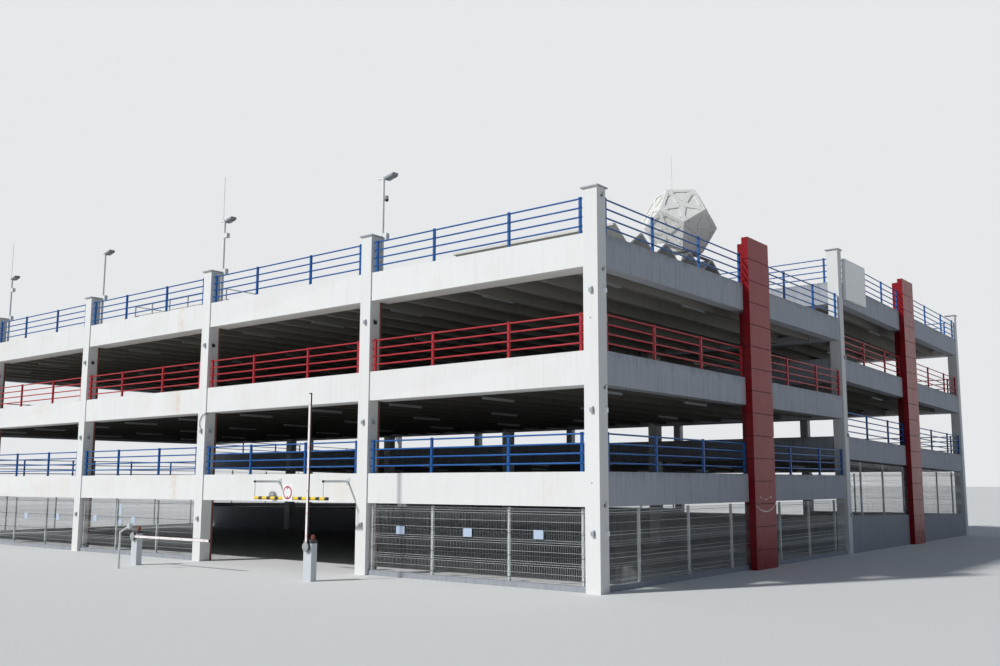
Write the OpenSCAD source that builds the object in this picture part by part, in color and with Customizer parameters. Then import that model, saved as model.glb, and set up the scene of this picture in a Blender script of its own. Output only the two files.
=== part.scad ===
// Split-level multi storey car park of precast concrete: two halves side by side, each five bays long, with
// the rear half raised by half a storey. Open fronts with steel railings, red clad pylons on the right gable,
// a meshed ground floor with an entrance bay, two boom barriers and a concrete dodecahedron on the roof.
// X runs along the front to the right, Y to the back, Z up. The origin is the foot of the front right column.

/* [Frame] */
// Column spacing along the front (mm)
bay = 7500; // [6000:50:9000]
// Number of bays along the front
bays = 5; // [3:1:6]
// Front face of one column row to the front face of the next row (mm)
half_depth = 15500; // [12000:50:18000]
// Column width along the front (mm)
col_w = 400; // [300:10:700]
// Column depth (mm)
col_d = 360; // [300:10:700]
// Storey height, floor to floor (mm)
storey = 2760; // [2500:10:3600]
// Top of the lowest front spandrel above the ground (mm)
first_top = 2690; // [2400:10:3400]
// Height of the rear half above the front half at the split line (mm)
rear_rise = 1370; // [1000:10:1800]
// Fall of the rear decks to the back, per metre of depth (mm)
fall_mm = 20; // [0:1:30]
// Front columns above the roof spandrel (mm)
col_over = 1060; // [500:10:1600]
// Split line and rear columns above the roof spandrel (mm)
rear_col_over = 1150; // [500:10:1600]
// Cap plate thickness (mm)
cap_t = 30; // [10:5:80]
// Overhang of a cap plate past the column (mm)
cap_over = 45; // [10:5:100]

/* [Spandrels and decks] */
// Spandrel height (mm)
span_h = 790; // [500:10:1200]
// Spandrel face behind the column face (mm)
recess = 30; // [10:5:80]
// Open joint at a spandrel's end (mm)
joint = 20; // [5:5:40]
// Depth of the ledge that carries the tee ribs (mm)
ledge_d = 300; // [150:10:400]
// Height of the ledge (mm)
ledge_h = 250; // [150:10:400]
// Floor surface below the spandrel top (mm)
kerb = 200; // [100:10:400]
// Slab thickness of the double tees (mm)
slab_t = 100; // [60:5:200]
// Depth of a double tee with its slab (mm)
tee_h = 550; // [400:10:900]
// Width of a tee rib (mm)
rib_w = 160; // [100:5:250]
// First rib of the decks from the right end of the front (mm)
rib_first = 1105; // [600:5:1400]
// Distance between the ribs, half the width of a double tee (mm)
rib_step = 1170; // [900:10:1500]
// Gap between a ledge and the deep part of a rib (mm)
rib_gap = 60; // [20:5:150]

/* [Ground floor] */
// Top of the rear plinth at the split line (mm)
plinth_top = 1300; // [600:10:2000]
// Thickness of the plinth walls (mm)
plinth_t = 250; // [150:10:400]
// Height of the concrete curb under the mesh (mm)
curb_h = 130; // [100:10:500]
// Width of the curb (mm)
curb_w = 150; // [80:10:300]
// Fence posts of a bay from its left column (mm)
bay_fence = [90, 2285, 4785, 6925];
// Fence posts before and behind the front pylon, then the rear pylon, each from the start of its run (mm)
gable_fence_posts = [[1560, 4010, 6450], [1515, 3775, 6050], [1540, 3990, 6490], [1375, 3825, 6275]];
// Lengths of the four gable runs that the post places are given for; longer runs spread their posts (mm)
gable_run_l = [7835, 6905, 7075, 7665];
// Ends of the mesh from the columns (mm)
fence_gap = 20; // [10:5:60]
// Side of a fence post (mm)
fence_post = 60; // [40:5:100]
// Diameter of a stiffening bar of the mesh (mm)
fence_bar = 12; // [6:1:20]

/* [Railings] */
// Height of a railing post (mm)
post_h = 900; // [700:10:1200]
// Side of a railing post (mm)
post_w = 60; // [40:5:100]
// Rail diameter (mm)
rail_d = 42; // [30:1:60]
// Height of the lowest rail (mm)
rail_low = 195; // [100:5:300]
// Distance between rails (mm)
rail_step = 222; // [150:1:300]
// Rail end past the outer posts (mm)
rail_nub = 110; // [0:10:200]
// Centre line of the railings behind the column faces (mm)
rail_y = 105; // [70:5:200]
// Outer posts of a bay from the column faces (mm)
post_inset = 140; // [120:10:500]
// Distance between the two inner posts of a bay (mm)
post_mid = 2530; // [2000:10:3000]
// Posts before and behind the front pylon, then the rear pylon, each from the start of its run (mm)
gable_posts = [[140, 2320, 4780, 7270], [205, 2305, 4705, 6765], [140, 2280, 4690, 6590],
    [165, 3115, 5635, 7525]];

/* [Pylons] */
// Pylon width (mm)
pylon_w = 1410; // [800:10:2000]
// Pylon front face before the column face (mm)
pylon_out = 170; // [100:10:400]
// Near edge of the front pylon from the front (mm)
pylon_y = 7690; // [6000:10:9000]
// Near edge of the rear pylon behind the split line (mm)
rear_pylon_in = 6930; // [5000:10:9000]
// Front pylon above the roof spandrel (mm)
pylon_over = 1370; // [800:10:2000]
// Rear pylon above the roof spandrel (mm)
rear_pylon_over = 1350; // [800:10:2000]
// Height of one cladding panel (mm)
panel_h = 645; // [400:5:900]
// Cladding thickness (mm)
clad_t = 40; // [20:5:80]
// Width and depth of a cladding joint (mm)
clad_joint = 20; // [5:1:20]
// Width of the clad column behind a pylon (mm)
core_w = 400; // [400:10:800]
// Clad column below the pylon top (mm)
core_drop = 50; // [0:10:500]

/* [Roof pieces] */
// Mast height above the roof deck (mm)
mast_h = 3010; // [2000:10:5000]
// Mast diameter (mm)
mast_d = 80; // [50:5:150]
// Length of the floodlight arm (mm)
lamp_arm = 330; // [300:10:900]
// Length of a floodlight head (mm)
lamp_l = 440; // [300:10:700]
// Thickness of a floodlight head (mm)
lamp_t = 65; // [40:5:120]
// Diameter of the camera dome (mm)
dome_d = 115; // [80:5:200]
// Length of a floodlight head behind its hinge (mm)
lamp_back = 60; // [20:5:120]
// Width of a floodlight head (mm)
lamp_w = 220; // [120:10:400]
// Centre of the camera dome above the roof deck (mm)
dome_z = 2370; // [1800:10:2800]
// Centre of the camera dome from its mast (mm)
dome_out = 100; // [70:5:200]
// Reach of a switch box from its mast (mm)
box_w = 150; // [80:10:300]
// Depth of a switch box (mm)
box_d = 120; // [80:10:200]
// Foot of the lower switch boxes above the roof deck (mm)
low_box_z = 1200; // [1150:10:1600]
// Height of a lower switch box (mm)
low_box_h = 200; // [100:10:300]
// Foot of the upper switch boxes above the roof deck (mm)
high_box_z = 2450; // [1900:10:2700]
// Height of an upper switch box (mm)
high_box_h = 150; // [100:10:300]
// Top of the lightning rods above the roof deck (mm)
rod_top = 4560; // [3000:10:6000]
// Height of the light guard rail on the roof deck (mm)
guard_h = 1100; // [900:10:1300]
// Guard rail from the front (mm)
guard_y = 1600; // [1200:10:3000]
// Right end of the guard rail from the right end of the front (mm)
guard_x = 16450; // [9000:50:18000]
// Post spacing of the guard rail (mm)
guard_step = 1150; // [800:10:1600]
// Edge of the dodecahedron (mm)
dodeca_a = 840; // [400:10:1500]
// Wall of the dodecahedron (mm)
dodeca_wall = 120; // [60:5:300]
// Depth of the recessed panels of the dodecahedron (mm)
panel_sink = 30; // [10:5:60]
// Ridge spacing of the folded plate (mm)
fold_pitch = 1400; // [800:10:2400]
// Ridges of the folded plate
folds = 5; // [3:1:8]
// Height of a fold (mm)
fold_h = 400; // [200:10:800]
// Thickness of the folded plate, measured upright (mm)
fold_t = 65; // [50:5:300]
// Length of the folded plate along the front (mm)
fold_l = 5700; // [3000:50:8000]
// Ridge above the roof deck (mm)
ridge_h = 1280; // [800:10:2000]

/* [Entrance kit] */
// Height of the bracket arms above the ground (mm)
arm_z = 2475; // [2300:10:3000]
// Reach of the bracket arms before the spandrel (mm)
arm_out = 875; // [400:5:1500]
// Diameter of the bracket arms (mm)
arm_d = 60; // [40:5:100]
// Length of the height bar (mm)
bar_l = 3100; // [2000:10:5000]
// Diameter of the height bar (mm)
bar_d = 90; // [60:5:200]
// Middle of the height bar from the right end of the front (mm)
bar_mid = 9630; // [9000:10:13000]
// Centre of the height bar above the ground (mm)
bar_z = 2015; // [1800:5:2400]
// Diameter of the round sign (mm)
sign_d = 360; // [200:10:800]

/* [Barriers] */
// Distance of the barriers before the front (mm)
barrier_y = 1940; // [1000:10:4000]
// Width of a barrier cabinet (mm)
cabinet_w = 300; // [200:10:500]
// Depth of a barrier cabinet (mm)
cabinet_d = 180; // [120:10:500]
// Height of a barrier cabinet (mm)
cabinet_h = 1000; // [700:10:1400]
// Height of the boom axis (mm)
boom_z = 850; // [600:10:1200]
// Boom length from its axis (mm)
boom_l = 3860; // [2500:10:5000]
// Boom height and thickness (mm)
boom_h = 75; // [50:5:150]
// Boom end behind its axis (mm)
boom_tail = 100; // [80:10:500]

/* [Hidden] */

$fn = 48;
eps = 1;
len_x = bays * bay;
split_y = half_depth;
back_y = 2 * half_depth;
fall = fall_mm / 1000;
bay_clear = bay - col_w;
core_y0 = pylon_y + (pylon_w - core_w) / 2;
rear_pylon_y = split_y + rear_pylon_in;
rear_core_y0 = rear_pylon_y + (pylon_w - core_w) / 2;
// Post places of gable run i, spread over its real length
function spread(posts, run_l, i) = [for (p = posts) p * run_l / gable_run_l[i]];

function drop(y) = fall * (y - split_y);
function top_at(level) = first_top + (level - 1) * storey;
function rear_top_at(level) = top_at(level) + rear_rise;
front_col_top = top_at(3) + col_over;
split_col_top = rear_top_at(3) + rear_col_over;
back_col_top = rear_top_at(3) - drop(back_y) + rear_col_over;
// Left face of column number k, counted from the right
function col_left(k) = -k * bay - col_w;

// Plain building blocks
module block(x0, x1, y0, y1, z0, z1) {
  translate([x0, y0, z0])
    cube([x1 - x0, y1 - y0, z1 - z0]);
}

// A block whose top and bottom follow the fall of the rear decks
module fall_block(x0, x1, y0, y1, z0, z1) {
  translate([x0, 0, 0])
    rotate([90, 0, 90])
      linear_extrude(x1 - x0)
        polygon([
          [y0, z0 - drop(y0)],
          [y1, z0 - drop(y1)],
          [y1, z1 - drop(y1)],
          [y0, z1 - drop(y0)]
        ]);
}

// A block that stands level on the ground and falls on top
module grounded(x0, x1, y0, y1, z1) {
  translate([x0, 0, 0])
    rotate([90, 0, 90])
      linear_extrude(x1 - x0)
        polygon([[y0, 0], [y1, 0], [y1, z1 - drop(y1)], [y0, z1 - drop(y0)]]);
}

// A post that stands on a falling plinth, z0 at the split line, with a level top
module plinth_post(x0, x1, y0, y1, z0, z1) {
  translate([x0, 0, 0])
    rotate([90, 0, 90])
      linear_extrude(x1 - x0)
        polygon([[y0, z0 - drop(y0)], [y1, z0 - drop(y1)], [y1, z1], [y0, z1]]);
}

module column_row(y, top) {
  for (k = [0 : bays])
    block(col_left(k), col_left(k) + col_w, y, y + col_d, 0, top);
}

// Columns
module front_columns() {
  color("#D9D6CE")
    column_row(0, front_col_top);
}

module split_columns() {
  color("#D9D6CE")
    column_row(split_y, split_col_top);
}

module back_columns() {
  color("#D9D6CE")
    column_row(back_y, back_col_top);
}

module cap_row(y, top) {
  for (k = [0 : bays])
    block(col_left(k) - cap_over, col_left(k) + col_w + cap_over,
      y - cap_over, y + col_d + cap_over, top, top + cap_t);
}

module column_caps() {
  color("#6A6E72") {
    cap_row(0, front_col_top);
    cap_row(split_y, split_col_top);
    cap_row(back_y, back_col_top);
  }
}

// Spandrels: upright with a ledge on the inner side, as an extruded L
module ledge_beam(k, outline) {
  translate([col_left(k + 1) + col_w + joint, 0, 0])
    rotate([90, 0, 90])
      linear_extrude(bay_clear - 2 * joint)
        polygon(outline);
}

module front_spandrels() {
  color("#D9D6CE")
    for (level = [1 : 3], k = [0 : bays - 1])
      ledge_beam(k, [
        [recess, top_at(level) - span_h],
        [col_d + ledge_d, top_at(level) - span_h],
        [col_d + ledge_d, top_at(level) - span_h + ledge_h],
        [col_d, top_at(level) - span_h + ledge_h],
        [col_d, top_at(level)],
        [recess, top_at(level)]
      ]);
}

// The ledge follows the fall of the deck, the upright is level
back_face = back_y + col_d - recess;
function back_top(level) = rear_top_at(level) - drop(back_y);
module back_spandrels() {
  color("#D9D6CE")
    for (level = [1 : 3], k = [0 : bays - 1])
      ledge_beam(k, [
        [back_face, back_top(level) - span_h],
        [back_y, back_top(level) - span_h],
        [back_y - ledge_d, rear_top_at(level) - span_h - drop(back_y - ledge_d)],
        [back_y - ledge_d, rear_top_at(level) - span_h + ledge_h - drop(back_y - ledge_d)],
        [back_y, back_top(level) - span_h + ledge_h],
        [back_y, back_top(level)],
        [back_face, back_top(level)]
      ]);
}

// Gable spandrels of one side, from x0 to x1, in four lengths on each level
module gable_spandrels(x0, x1) {
  for (level = [1 : 3]) {
    block(x0, x1, col_d + joint, core_y0 - joint, top_at(level) - span_h, top_at(level));
    block(x0, x1, core_y0 + core_w + joint, split_y - joint, top_at(level) - span_h,
      top_at(level));
    fall_block(x0, x1, split_y + col_d + joint, rear_core_y0 - joint,
      rear_top_at(level) - span_h, rear_top_at(level));
    fall_block(x0, x1, rear_core_y0 + core_w + joint, back_y - joint,
      rear_top_at(level) - span_h, rear_top_at(level));
  }
}

module right_spandrels() {
  color("#D9D6CE")
    gable_spandrels(-col_w, -recess);
}

module left_spandrels() {
  color("#D9D6CE")
    gable_spandrels(-len_x - col_w + recess, -len_x);
}

// Beams on the split line: the raised kerb of the rear decks and the beam of the front decks
module split_kerbs() {
  y1 = split_y + col_d;
  color("#D9D6CE")
    for (level = [1 : 3], k = [0 : bays - 1])
      ledge_beam(k, [
        [split_y + recess, rear_top_at(level) - span_h],
        [y1, rear_top_at(level) - span_h],
        [y1 + ledge_d, rear_top_at(level) - span_h - drop(y1 + ledge_d)],
        [y1 + ledge_d, rear_top_at(level) - span_h + ledge_h - drop(y1 + ledge_d)],
        [y1, rear_top_at(level) - span_h + ledge_h - drop(y1)],
        [y1, rear_top_at(level)],
        [split_y + recess, rear_top_at(level)]
      ]);
}

module split_beams() {
  color("#D9D6CE")
    for (level = [1 : 3], k = [0 : bays - 1])
      ledge_beam(k, [
        [split_y - ledge_d, top_at(level) - span_h],
        [split_y + col_d - recess, top_at(level) - span_h],
        [split_y + col_d - recess, top_at(level) - kerb],
        [split_y, top_at(level) - kerb],
        [split_y, top_at(level) - span_h + ledge_h],
        [split_y - ledge_d, top_at(level) - span_h + ledge_h]
      ]);
}

// Double tees: a slab and two ribs each, dapped over the ledges
dap = span_h - ledge_h - kerb;
ribs = floor((len_x - rib_first) / rib_step);
function rib_x(i) = -rib_first - i * rib_step;
module ribs_along(shape_z) {
  for (i = [0 : ribs - 1])
    translate([rib_x(i) - rib_w / 2, 0, shape_z])
      rotate([90, 0, 90])
        linear_extrude(rib_w)
          children();
}

module front_slabs() {
  color("#C9C6BE")
    for (level = [1 : 3])
      block(-len_x, -col_w, col_d, split_y, top_at(level) - kerb - slab_t,
        top_at(level) - kerb);
}

module front_ribs() {
  y0 = col_d + ledge_d + rib_gap;
  y1 = split_y - ledge_d - rib_gap;
  color("#C9C6BE")
    for (level = [1 : 3])
      ribs_along(top_at(level) - kerb)
        polygon([
          [col_d, -slab_t],
          [col_d, -dap],
          [y0, -dap],
          [y0, -tee_h],
          [y1, -tee_h],
          [y1, -dap],
          [split_y, -dap],
          [split_y, -slab_t]
        ]);
}

// The lowest rear slab is plain and rests on the plinth walls
module rear_slabs() {
  color("#C9C6BE") {
    for (level = [1 : 3])
      fall_block(-len_x, -col_w, split_y + col_d, back_y, rear_top_at(level) - kerb - slab_t,
        rear_top_at(level) - kerb);
    fall_block(-len_x, -col_w, split_y + col_d, back_y, plinth_top - kerb - 200,
      plinth_top - kerb);
  }
}

module deck_slabs() {
  front_slabs();
  rear_slabs();
}

// Ends of the rear ribs, from the split line to the back
rear_y0 = split_y + col_d;
module rear_ribs() {
  y0 = rear_y0 + ledge_d + rib_gap;
  y1 = back_y - ledge_d - rib_gap;
  color("#C9C6BE")
    for (level = [1 : 3])
      ribs_along(rear_top_at(level) - kerb)
        polygon([
          [rear_y0, -slab_t - drop(rear_y0)],
          [rear_y0, -dap - drop(rear_y0)],
          [y0, -dap - drop(y0)],
          [y0, -tee_h - drop(y0)],
          [y1, -tee_h - drop(y1)],
          [y1, -dap - drop(y1)],
          [back_y, -dap - drop(back_y)],
          [back_y, -slab_t - drop(back_y)]
        ]);
}

module tee_ribs() {
  front_ribs();
  rear_ribs();
}

// Walls under the rear half, from the ground to the foot of the mesh
module rear_plinth() {
  color("#C9C6BE") {
    for (x0 = [-col_w, -len_x - col_w + recess])
      grounded(x0, x0 + col_w - recess, split_y + col_d + joint, back_y - joint, plinth_top);
    for (k = [0 : bays - 1]) {
      block(col_left(k + 1) + col_w + joint, col_left(k) - joint, back_y, back_y + plinth_t,
        0, plinth_top - drop(back_y) - (k == 1 ? kerb : 0));
      block(col_left(k + 1) + col_w + joint, col_left(k) - joint, split_y + col_d - plinth_t,
        split_y + col_d, 0, plinth_top - kerb);
    }
  }
}

// Low curbs under the mesh of the front half; the second bay is the entrance
meshed_bays = [for (k = [0 : bays - 1]) if (k != 1) k];
module ground_curbs() {
  color("#D9D6CE") {
    for (k = meshed_bays)
      block(col_left(k + 1) + col_w, col_left(k), 100, 100 + curb_w, 0, curb_h);
    for (x0 = [-100 - curb_w, -len_x - col_w + 100]) {
      block(x0, x0 + curb_w, col_d, core_y0, 0, curb_h);
      block(x0, x0 + curb_w, core_y0 + core_w, split_y, 0, curb_h);
    }
  }
}

// Pylons: a three-sided shell of panels with a closed top
module pylon(y0, top) {
  difference() {
    block(-recess, pylon_out, y0, y0 + pylon_w, 0, top);
    block(-recess - eps, pylon_out - clad_t, y0 + clad_t, y0 + pylon_w - clad_t, -eps,
      top - clad_t);
    for (i = [1 : floor(top / panel_h)])
      difference() {
        block(-recess - eps, pylon_out + eps, y0 - eps, y0 + pylon_w + eps,
          top - i * panel_h - clad_joint / 2, top - i * panel_h + clad_joint / 2);
        block(-recess - 2 * eps, pylon_out - clad_joint, y0 + clad_joint,
          y0 + pylon_w - clad_joint, top - i * panel_h - clad_joint, top - i * panel_h + clad_joint);
      }
  }
}

module front_pylon() {
  color("#9E1B26")
    pylon(pylon_y, top_at(3) + pylon_over);
}

module rear_pylon() {
  color("#9E1B26")
    pylon(rear_pylon_y, rear_top_at(3) - drop(rear_pylon_y) + rear_pylon_over);
}

module clad_columns() {
  color("#9E1B26") {
    block(-col_w, -recess, core_y0, core_y0 + core_w, 0, top_at(3) + pylon_over - core_drop);
    plinth_post(-col_w, -recess, rear_core_y0, rear_core_y0 + core_w, plinth_top,
      rear_top_at(3) - drop(rear_pylon_y) + rear_pylon_over - core_drop);
  }
}

module left_gable_columns() {
  color("#D9D6CE") {
    block(-len_x - col_w, -len_x, core_y0, core_y0 + core_w, 0, top_at(3));
    plinth_post(-len_x - col_w + recess, -len_x, rear_core_y0, rear_core_y0 + core_w, plinth_top,
      rear_top_at(3) - drop(rear_core_y0));
  }
}

// A railing of a given length along X, with posts at the given places, falling by s per unit
module railing(length, posts, s) {
  a = atan(s);
  for (p = posts)
    translate([0, post_w / 2, 0])
      rotate([90, 0, 0])
        linear_extrude(post_w)
          polygon([
            [p - post_w / 2, -s * (p - post_w / 2)],
            [p + post_w / 2, -s * (p + post_w / 2)],
            [p + post_w / 2, post_h - s * p],
            [p - post_w / 2, post_h - s * p]
          ]);
  for (i = [0 : 3])
    translate([posts[0] - rail_nub, 0, rail_low + i * rail_step - s * (posts[0] - rail_nub)])
      rotate([0, 90 + a, 0])
        cylinder(h = (posts[len(posts) - 1] - posts[0] + 2 * rail_nub) / cos(a), d = rail_d);
}

bay_posts = [post_inset, (bay_clear - post_mid) / 2, (bay_clear + post_mid) / 2,
    bay_clear - post_inset];
module bay_railings(y, z) {
  for (k = [0 : bays - 1])
    translate([col_left(k + 1) + col_w, y, z])
      railing(bay_clear, bay_posts, 0);
}

// Railings of a gable, on the centre line x
module gable_railings(x, level) {
  y0s = [col_d, core_y0 + core_w, split_y + col_d, rear_core_y0 + core_w];
  y1s = [core_y0, split_y, rear_core_y0, back_y];
  for (i = [0 : 3])
    translate([x, y0s[i], i < 2 ? top_at(level) : rear_top_at(level) - drop(y0s[i])])
      rotate([0, 0, 90])
        railing(y1s[i] - y0s[i], spread(gable_posts[i], y1s[i] - y0s[i], i), i < 2 ? 0 : fall);
}

module front_rails_first() {
  color("#1E4E9E")
    bay_railings(rail_y, top_at(1));
}

module front_rails_second() {
  color("#B5232B")
    bay_railings(rail_y, top_at(2));
}

module front_rails_roof() {
  color("#1E4E9E")
    bay_railings(rail_y, top_at(3));
}

module right_rails_first() {
  color("#1E4E9E")
    gable_railings(-rail_y, 1);
}

module right_rails_second() {
  color("#B5232B")
    gable_railings(-rail_y, 2);
}

module right_rails_roof() {
  color("#1E4E9E")
    gable_railings(-rail_y, 3);
}

// Railings of the back and the left gable on one level, and on the split line of the roof
module far_railings(level) {
  if (level == 3)
    bay_railings(split_y + rail_y, rear_top_at(level));
  bay_railings(back_y + col_d - rail_y, back_top(level));
  gable_railings(-len_x - col_w + rail_y, level);
}

module far_rails_first() {
  color("#1E4E9E")
    far_railings(1);
}

module far_rails_second() {
  color("#B5232B")
    far_railings(2);
}

module far_rails_roof() {
  color("#1E4E9E")
    far_railings(3);
}

// Fence of a given length along X between z0 and z1, falling by s: posts at the given places and
// stiffening bars
module fence(length, posts, z0, z1, s) {
  a = atan(s);
  for (p = posts)
    translate([0, fence_post / 2, 0])
      rotate([90, 0, 0])
        linear_extrude(fence_post)
          polygon([
            [p - fence_post / 2, z0 - s * (p - fence_post / 2)],
            [p + fence_post / 2, z0 - s * (p + fence_post / 2)],
            [p + fence_post / 2, z1 - s * p],
            [p - fence_post / 2, z1 - s * p]
          ]);
  for (f = [0.06, 0.35, 0.65, 0.94])
    translate([fence_gap, 0, z0 + f * (z1 - z0) - s * fence_gap])
      rotate([0, 90 + a, 0])
        cylinder(h = (length - 2 * fence_gap) / cos(a), d = fence_bar);
}

fence_top = first_top - span_h - 40;
rear_fence_top = rear_top_at(1) - span_h - 60;
module front_fence() {
  color("#8E949A")
    for (k = meshed_bays)
      translate([col_left(k + 1) + col_w, 100 + curb_w / 2, 0])
        fence(bay_clear, bay_fence, curb_h, fence_top, 0);
}

// Fence of one gable, on the centre line x
module gable_fence(x) {
  y0s = [col_d, core_y0 + core_w, split_y + col_d, rear_core_y0 + core_w];
  y1s = [core_y0, split_y, rear_core_y0, back_y];
  for (i = [0 : 3])
    translate([x, y0s[i], i < 2 ? 0 : -drop(y0s[i])])
      rotate([0, 0, 90])
        fence(y1s[i] - y0s[i], spread(gable_fence_posts[i], y1s[i] - y0s[i], i), i < 2 ? curb_h : plinth_top,
          i < 2 ? fence_top : rear_fence_top, i < 2 ? 0 : fall);
}

module right_fence() {
  color("#8E949A")
    gable_fence(-100 - curb_w / 2);
}

module far_fence() {
  color("#8E949A") {
    gable_fence(-len_x - col_w + 100 + curb_w / 2);
    for (k = meshed_bays)
      translate([col_left(k + 1) + col_w, back_y + plinth_t / 2, -drop(back_y)])
        fence(bay_clear, bay_fence, plinth_top, rear_fence_top, 0);
  }
}

// Levels and places on the roof
roof_z = top_at(3) - kerb;
mast_y = col_d + cap_over + mast_d / 2 + 15;
// The last mast stands beside the gable spandrel
function mast_x(k) = -k * bay - (k == bays ? -mast_d / 2 - 20 : 50);

// Floodlight masts behind the front columns, clamped to them
module lamp_masts() {
  color("#9BA0A4")
    for (k = [1 : bays]) {
      translate([mast_x(k), mast_y, roof_z])
        cylinder(h = mast_h, d = mast_d);
      block(mast_x(k) - 60, mast_x(k) + mast_d / 2, col_d, mast_y, front_col_top - 60, front_col_top - 10);
      block(mast_x(k) - 200, mast_x(k) + lamp_arm - 200, mast_y - 25, mast_y + 25,
        roof_z + mast_h, roof_z + mast_h + 30);
    }
}

// Flat floodlight heads under the arms, tilted, and the camera of the first mast
module mast_lamps() {
  color("#7C8185") {
    for (k = [1 : bays])
      translate([mast_x(k) + lamp_arm - 200, mast_y, roof_z + mast_h])
        rotate([0, -12, 0])
          intersection() {
            translate([-lamp_back, -lamp_w / 2, -lamp_t])
              cube([lamp_l, lamp_w, lamp_t]);
            translate([lamp_l / 2 - lamp_back, 0, -lamp_t])
              cylinder(h = lamp_t, d1 = lamp_l - lamp_back, d2 = lamp_l + lamp_back / 3);
          }
    translate([mast_x(1) + mast_d / 2, mast_y, roof_z + dome_z + 0.8 * dome_out])
      rotate([0, 90, 0])
        cylinder(h = 0.6 * dome_out, d = mast_d / 2);
    translate([mast_x(1) + mast_d / 2 + dome_out, mast_y, roof_z + dome_z])
      sphere(d = dome_d);
    translate([mast_x(1) + mast_d / 2 + dome_out, mast_y, roof_z + dome_z])
      cylinder(h = 1.1 * dome_out, d = dome_d * 20 / 23);
  }
}

// White switch boxes on the masts, one above the column cap and one higher up on every other mast
module mast_boxes() {
  color("#E4E5E3")
    for (k = [1 : bays - 1]) {
      x = mast_x(k) + mast_d / 2;
      y = mast_y - mast_d / 2;
      block(x, x + box_w, y, y + box_d, roof_z + low_box_z, roof_z + low_box_z + low_box_h);
      if (k % 2 == 0)
        block(x, x + box_w, y, y + box_d, roof_z + high_box_z, roof_z + high_box_z + high_box_h);
    }
}

// Lightning rods on the second and fourth mast and on the dodecahedron
module lightning_rods() {
  color("#B4B8BA") {
    for (k = [2, 4])
      translate([mast_x(k) - 80, mast_y, roof_z + mast_h + 30])
        cylinder(h = rod_top - mast_h - 30, d = 20);
    translate([dodeca_x - 400, dodeca_y + 330, dodeca_z + 2.2273 * dodeca_a])
      cylinder(h = roof_z + rod_top - dodeca_z - 2.2273 * dodeca_a, d = 20);
  }
}

// Galvanised guard rail on the front deck: square posts, three rails and a return at both ends
guard_post = 45;
guard_d = 34;
guard_posts = 6;
guard_return = 1200;
module guard_post_at(x, y) {
  block(x - guard_post / 2, x + guard_post / 2, y - guard_post / 2, y + guard_post / 2,
    roof_z, roof_z + guard_h + guard_post / 2);
}

// Rails between two posts, from post axis to post axis
module guard_run(x, y, length, turn) {
  for (z = [guard_h - 740, guard_h - 370, guard_h])
    translate([x, y, roof_z + z])
      rotate([0, 0, turn])
        translate([guard_post / 2 - 4, 0, 0])
          rotate([0, 90, 0])
            cylinder(h = length - guard_post + 8, d = guard_d);
}

module roof_guard() {
  x1 = -guard_x;
  x0 = x1 - (guard_posts - 1) * guard_step;
  color("#AEB3B6") {
    for (i = [0 : guard_posts - 1])
      guard_post_at(x0 + i * guard_step, guard_y);
    guard_run(x0, guard_y, x1 - x0, 0);
    for (x = [x0, x1]) {
      guard_post_at(x, guard_y + guard_return);
      guard_run(x, guard_y, guard_return, 90);
    }
  }
}

// Folded concrete plate on cross walls: ridges along X, flat strips at ridges and valleys
fold_x1 = -1500;
fold_y0 = 3100;
flat = 120;
function fold_line(dz) = [for (i = [0 : folds - 1], j = [0 : 3])
  let (y = fold_y0 + i * fold_pitch)
  j == 0 ? [y - flat / 2, roof_z + ridge_h + dz]
  : j == 1 ? [y + flat / 2, roof_z + ridge_h + dz]
  : j == 2 ? [y + fold_pitch / 2 - flat / 2, roof_z + ridge_h - fold_h + dz]
  : [y + fold_pitch / 2 + flat / 2, roof_z + ridge_h - fold_h + dz]];
module folded_plate() {
  up = fold_line(0);
  low = fold_line(-fold_t);
  n = len(up);
  color("#CFCCC4")
    translate([fold_x1 - fold_l, 0, 0])
      rotate([90, 0, 90])
        linear_extrude(fold_l)
          polygon(concat(up, [for (i = [n - 1 : -1 : 0]) low[i]]));
}

// Cross walls under the plate and the two bearers of the dodecahedron
bearer_h = 40;
module plate_supports() {
  wall_top = roof_z + ridge_h - fold_h - fold_t;
  color("#A9A69F") {
    for (x = [fold_x1 - fold_l + 500, fold_x1 - fold_l / 2 - 100, fold_x1 - 700])
      block(x, x + 200, fold_y0 + 300, fold_y0 + folds * fold_pitch - fold_pitch / 2 + flat / 2,
        roof_z, wall_top);
    for (x = [dodeca_x - 420, dodeca_x + 300])
      block(x, x + 120, fold_y0 + 2 * fold_pitch - flat / 2, fold_y0 + 4 * fold_pitch + flat / 2,
        roof_z + ridge_h, dodeca_z);
  }
}

// Hollow dodecahedron lying on a face, cut from six slabs. Each face has five recessed panels,
// with ribs between them from the middle to the corners
dodeca_x = -2000;
dodeca_y = 7550;
dodeca_z = roof_z + ridge_h + bearer_h;
dodeca_tilt = 63.4349;
function in_radius(a) = 1.113516 * a;
module dodeca_body(a) {
  intersection_for (i = [0 : 5])
    rotate(i == 0 ? [0, 0, 0] : [0, dodeca_tilt, -54 + 72 * i])
      cube([4 * a, 4 * a, 2 * in_radius(a)], center = true);
}

// The panels of one face, the first one in direction turn, with cut-off outer corners
module face_panels(turn) {
  for (j = [0 : 4])
    rotate([0, 0, turn + 72 * j])
      translate([0, 0, in_radius(dodeca_a) - panel_sink])
        linear_extrude(2 * panel_sink)
          scale(dodeca_a)
            polygon([[0.20, 0], [0.50, -0.29], [0.575, -0.21], [0.575, 0.21], [0.50, 0.29]]);
}

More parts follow.
